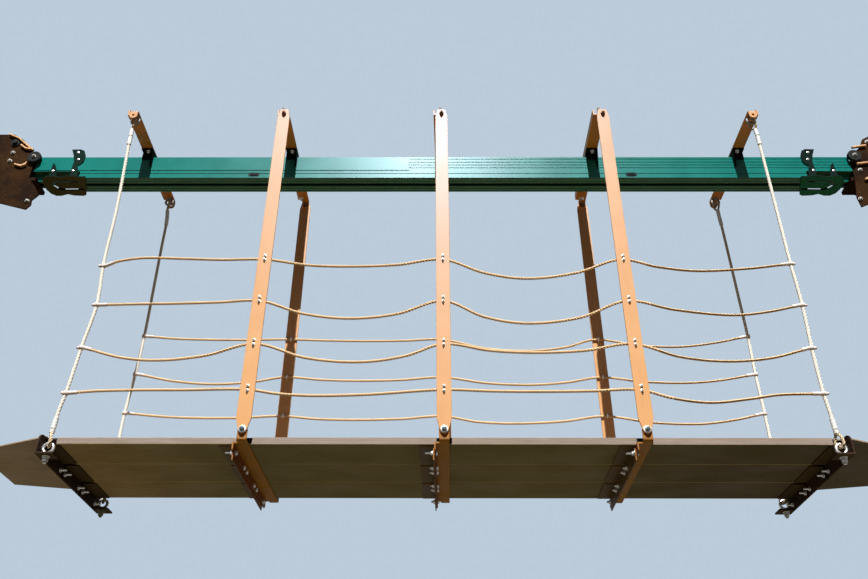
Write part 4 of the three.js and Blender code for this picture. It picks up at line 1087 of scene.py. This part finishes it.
def dress_ends():
    """Fasteners, bent rims and stop discs at the beam's ends."""
    tread = [
        (0.0, 0.0), (0.0405, 0.0), (0.044, 0.003), (0.0442, 0.009), (0.0428, 0.012), (0.0442, 0.015),
        (0.044, 0.021), (0.0405, 0.0242), (0.03, 0.0242), (0.0285, 0.0225), (0.0, 0.0225),
    ]
    for end, way_out in ENDS:
        ears, bolts, rims, discs, axle = (Shape() for _ in range(5))
        for out, z in LOOP_BOLTS:
            for side in (-1, 1):
                at = seat((MIDDLE + way_out * out, side * LOOP_EAR_Y, z), (0, side, 0))
                ears.head_end(at, 0.0078, turn=out)
        ears.done("loop_bolts_" + end, "zinc")
        for out, z, size in BRACKET_BOLTS[end]:
            for side in (-1, 1) if z > -LUG_DEPTH else (-1,):
                at = seat((MIDDLE + way_out * out, side * CHEEK_Y, z), (0, side, 0))
                bolts.nut_end(at, size, 0.6 * size, turn=out)
        bolts.done("bracket_bolts_" + end, "dull_zinc")
        for rim in BRACKET_RIMS[end]:
            rims.ribbon([(MIDDLE + way_out * out, z) for out, z in rim], -0.0855, -0.104, 0.009)
        # The rims' peach is painted sunlight on their front edges.
        rims.done("bracket_rims_" + end, "peach", smooth=20.0)
        out, z = STOP_AXLES[end]
        for side in (-1, 1):
            at = seat((MIDDLE + way_out * out, side * STOP_FACE_Y, z), (0, side, 0))
            discs.lathe(at, tread, 48)
            axle.prism(at, 30, 0.0145, 0.003, rise=0.0225, edge=0.0006)
            axle.nut(at, 0.02, 0.009, rise=0.0255, turn=0.2)
            axle.thread(at, 0.006, 0.005, rise=0.0345)
        discs.done("end_stop_discs_" + end, "rubber", "black_rubber")
        axle.done("end_stop_axle_nuts_" + end, "dull_zinc")
    hub = Shape()
    for side in (-1, 1):
        at = seat((MIDDLE - HUB_PLACE[0], side * CHEEK_Y, HUB_PLACE[1]), (0, side, 0))
        hub.prism(at, 36, 0.031, 0.008, edge=0.0015)
        hub.nut(at, 0.03, 0.014, rise=0.008, turn=0.3)
    hub.done("bracket_hub_left", "rubber")


# Frame pieces with their edges rounded off
def softened(node, name, width, finish, cut=None):
    """Copy of a frame piece with rounded edges, cut off beyond a plane if one is given."""
    bm = bmesh.new()
    bm.from_mesh(nodes[node].data)
    bmesh.ops.remove_doubles(bm, verts=bm.verts, dist=2e-5)
    bmesh.ops.dissolve_limit(bm, angle_limit=math.radians(0.6), verts=bm.verts, edges=bm.edges)
    if cut:
        place, outward = cut
        kept = bmesh.ops.bisect_plane(
            bm, geom=[*bm.verts, *bm.edges, *bm.faces], dist=1e-6, plane_co=place, plane_no=outward,
            clear_outer=True,
        )
        rim = [e for e in kept["geom_cut"] if isinstance(e, bmesh.types.BMEdge)]
        bmesh.ops.holes_fill(bm, edges=rim, sides=0)
    least = math.radians(34)
    sharp = [e for e in bm.edges if len(e.link_faces) == 2 and e.calc_face_angle(0.0) > least]
    rounded = rounded_off(bm, sharp, width)
    for face in bm.faces:
        face.smooth = False
    for face in rounded:
        face.smooth = True
    finished(made_object(name, bm), finish, [node])


def dress_frame():
    """Paint on the frame's own pieces, and rounded copies where their edges show."""
    coats = {"track_beam": "green", "running_rail": "rail_green"}
    for index in range(1, 6):
        coats["arm_saddle_%d" % index] = "dark_green"
        coats["cross_arm_%d" % index] = "orange"
    for end, way_out in ENDS:
        coats["end_rail_" + end] = "rail_green"
        coats["end_bracket_" + end] = "bracket"
        coats["end_crossmember_" + end] = "brown"
        coats["end_stop_" + end] = "rubber"
        corner = Vector((MIDDLE + way_out * LOOP_END_NEAR[0], LOOP_END_NEAR[1], 0))
        along = Vector((MIDDLE + way_out * LOOP_END_FAR[0], LOOP_END_FAR[1], 0)) - corner
        cut = (corner, Vector((-way_out * along.y, way_out * along.x, 0)).normalized())
        loop, plate = "bypass_loop_" + end, "approach_plate_" + end
        softened(loop, "bypass_loop_plate_" + end, 0.0008, "loop_" + end, cut)
        softened(plate, "approach_board_" + end, 0.0015, "approach")
    for node, finish in coats.items():
        nodes[node].data.materials.clear()
        nodes[node].data.materials.append(finishes[finish])
    rounded = [("cross_arm_%d", "cross_arm_rounded_%d", 0.0012, "orange")]
    rounded += [("deck_crossmember_%d", "crossmember_rounded_%d", 0.0012, "crossmember_%d")]
    rounded += [("hanger_near_%d", "hanger_bar_near_%d", 0.0013, "orange")]
    rounded += [("hanger_far_%d", "hanger_bar_far_%d", 0.0013, "orange")]
    for i in MIDDLE_ARMS:
        for node, name, width, finish in rounded:
            finish = finish.replace("%d", str(i))
            softened(node % i, name % i, width, finish)
    for bay in range(1, 5):
        for row in range(1, 4):
            node = "plank_bay_%d_row_%d" % (bay, row)
            softened(node, "deck_board_%d_%d" % (bay, row), 0.005, "plank")


# Light and stage
def shown_by_ray(tree, seen, mirrored, cast):
    """Output of three shaders: for the camera, for reflections, and for the light that the stage casts."""
    path = tree.nodes.new("ShaderNodeLightPath")
    chosen = cast
    for ray, shader in (("Is Glossy Ray", mirrored), ("Is Camera Ray", seen)):
        mix = tree.nodes.new("ShaderNodeMixShader")
        tree.links.new(path.outputs[ray], mix.inputs["Fac"])
        tree.links.new(chosen.outputs[0], mix.inputs[1])
        tree.links.new(shader.outputs[0], mix.inputs[2])
        chosen = mix
    return chosen.outputs["Shader"]


def glow(tree, kind, colour):
    shader = tree.nodes.new(kind)
    shader.inputs["Color"].default_value = (*colour, 1)
    shader.inputs["Strength"].default_value = 1.0
    return shader


def sky_and_floor():
    """Plain pale backdrop. Its own light is dim, browner from below and bluer from above."""
    world = bpy.data.worlds.new("studio")
    scene.world = world
    world.use_nodes = True
    tree = world.node_tree
    tree.nodes.clear()
    kind = "ShaderNodeBackground"
    cast = tree.nodes.new(kind)
    rise = tree.nodes.new("ShaderNodeSeparateXYZ")
    tree.links.new(tree.nodes.new("ShaderNodeTexCoord").outputs["Generated"], rise.inputs["Vector"])
    fade = tree.nodes.new("ShaderNodeMix")
    fade.data_type = "RGBA"
    fade.inputs["A"].default_value = (0.1, 0.075, 0.055, 1)
    fade.inputs["B"].default_value = (0.08, 0.09, 0.16, 1)
    tree.links.new(rise.outputs["Z"], fade.inputs["Factor"])
    tree.links.new(fade.outputs["Result"], cast.inputs["Color"])
    surface = shown_by_ray(tree, glow(tree, kind, (0.5, 0.6, 0.7)), glow(tree, kind, (0.3, 0.31, 0.32)), cast)
    tree.links.new(surface, tree.nodes.new("ShaderNodeOutputWorld").inputs["Surface"])

    bm = bmesh.new()
    place = Matrix.Translation((MIDDLE, 0, FLOOR_Z))
    bmesh.ops.create_grid(bm, x_segments=4, y_segments=4, size=FLOOR_HALF, matrix=place)
    floor = made_object("floor", bm)
    pale = bpy.data.materials.new("pale_floor")
    pale.use_nodes = True
    tree = pale.node_tree
    tree.nodes.clear()
    seen, mirrored, cast = (
        glow(tree, "ShaderNodeEmission", colour)
        for colour in ((0.47, 0.55, 0.63), (0.38, 0.35, 0.3), (0.105, 0.08, 0.03))
    )
    surface = shown_by_ray(tree, seen, mirrored, cast)
    tree.links.new(surface, tree.nodes.new("ShaderNodeOutputMaterial").inputs["Surface"])
    floor.data.materials.append(pale)


def key_light():
    """Key from behind the camera, high enough that the arms shade the beam and the beam the far hangers."""
    lamp = bpy.data.lights.new("key", "SUN")
    lamp.energy = KEY_STRENGTH
    lamp.angle = math.radians(KEY_WIDTH)
    lamp.color = (1.0, 0.985, 0.95)
    key = bpy.data.objects.new("key", lamp)
    rise, aside = math.radians(KEY_RISE), math.radians(KEY_ASIDE)
    level = math.cos(rise)
    aim = Vector((level * math.sin(aside), level * math.cos(aside), -math.sin(rise)))
    key.rotation_euler = aim.to_track_quat("-Z", "Y").to_euler()
    scene.collection.objects.link(key)


make_camera()
scene.view_settings.view_transform = "Standard"
finishes = make_finishes()
rope_lines = end_rope_lines()
dress_end_ropes(rope_lines)
dress_side_ropes(rope_lines)
dress_frame()
dress_hangers()
dress_arms()
dress_eye_bolts()
dress_crossmembers()
dress_deck_gaps()
dress_ends()
sky_and_floor()
key_light()
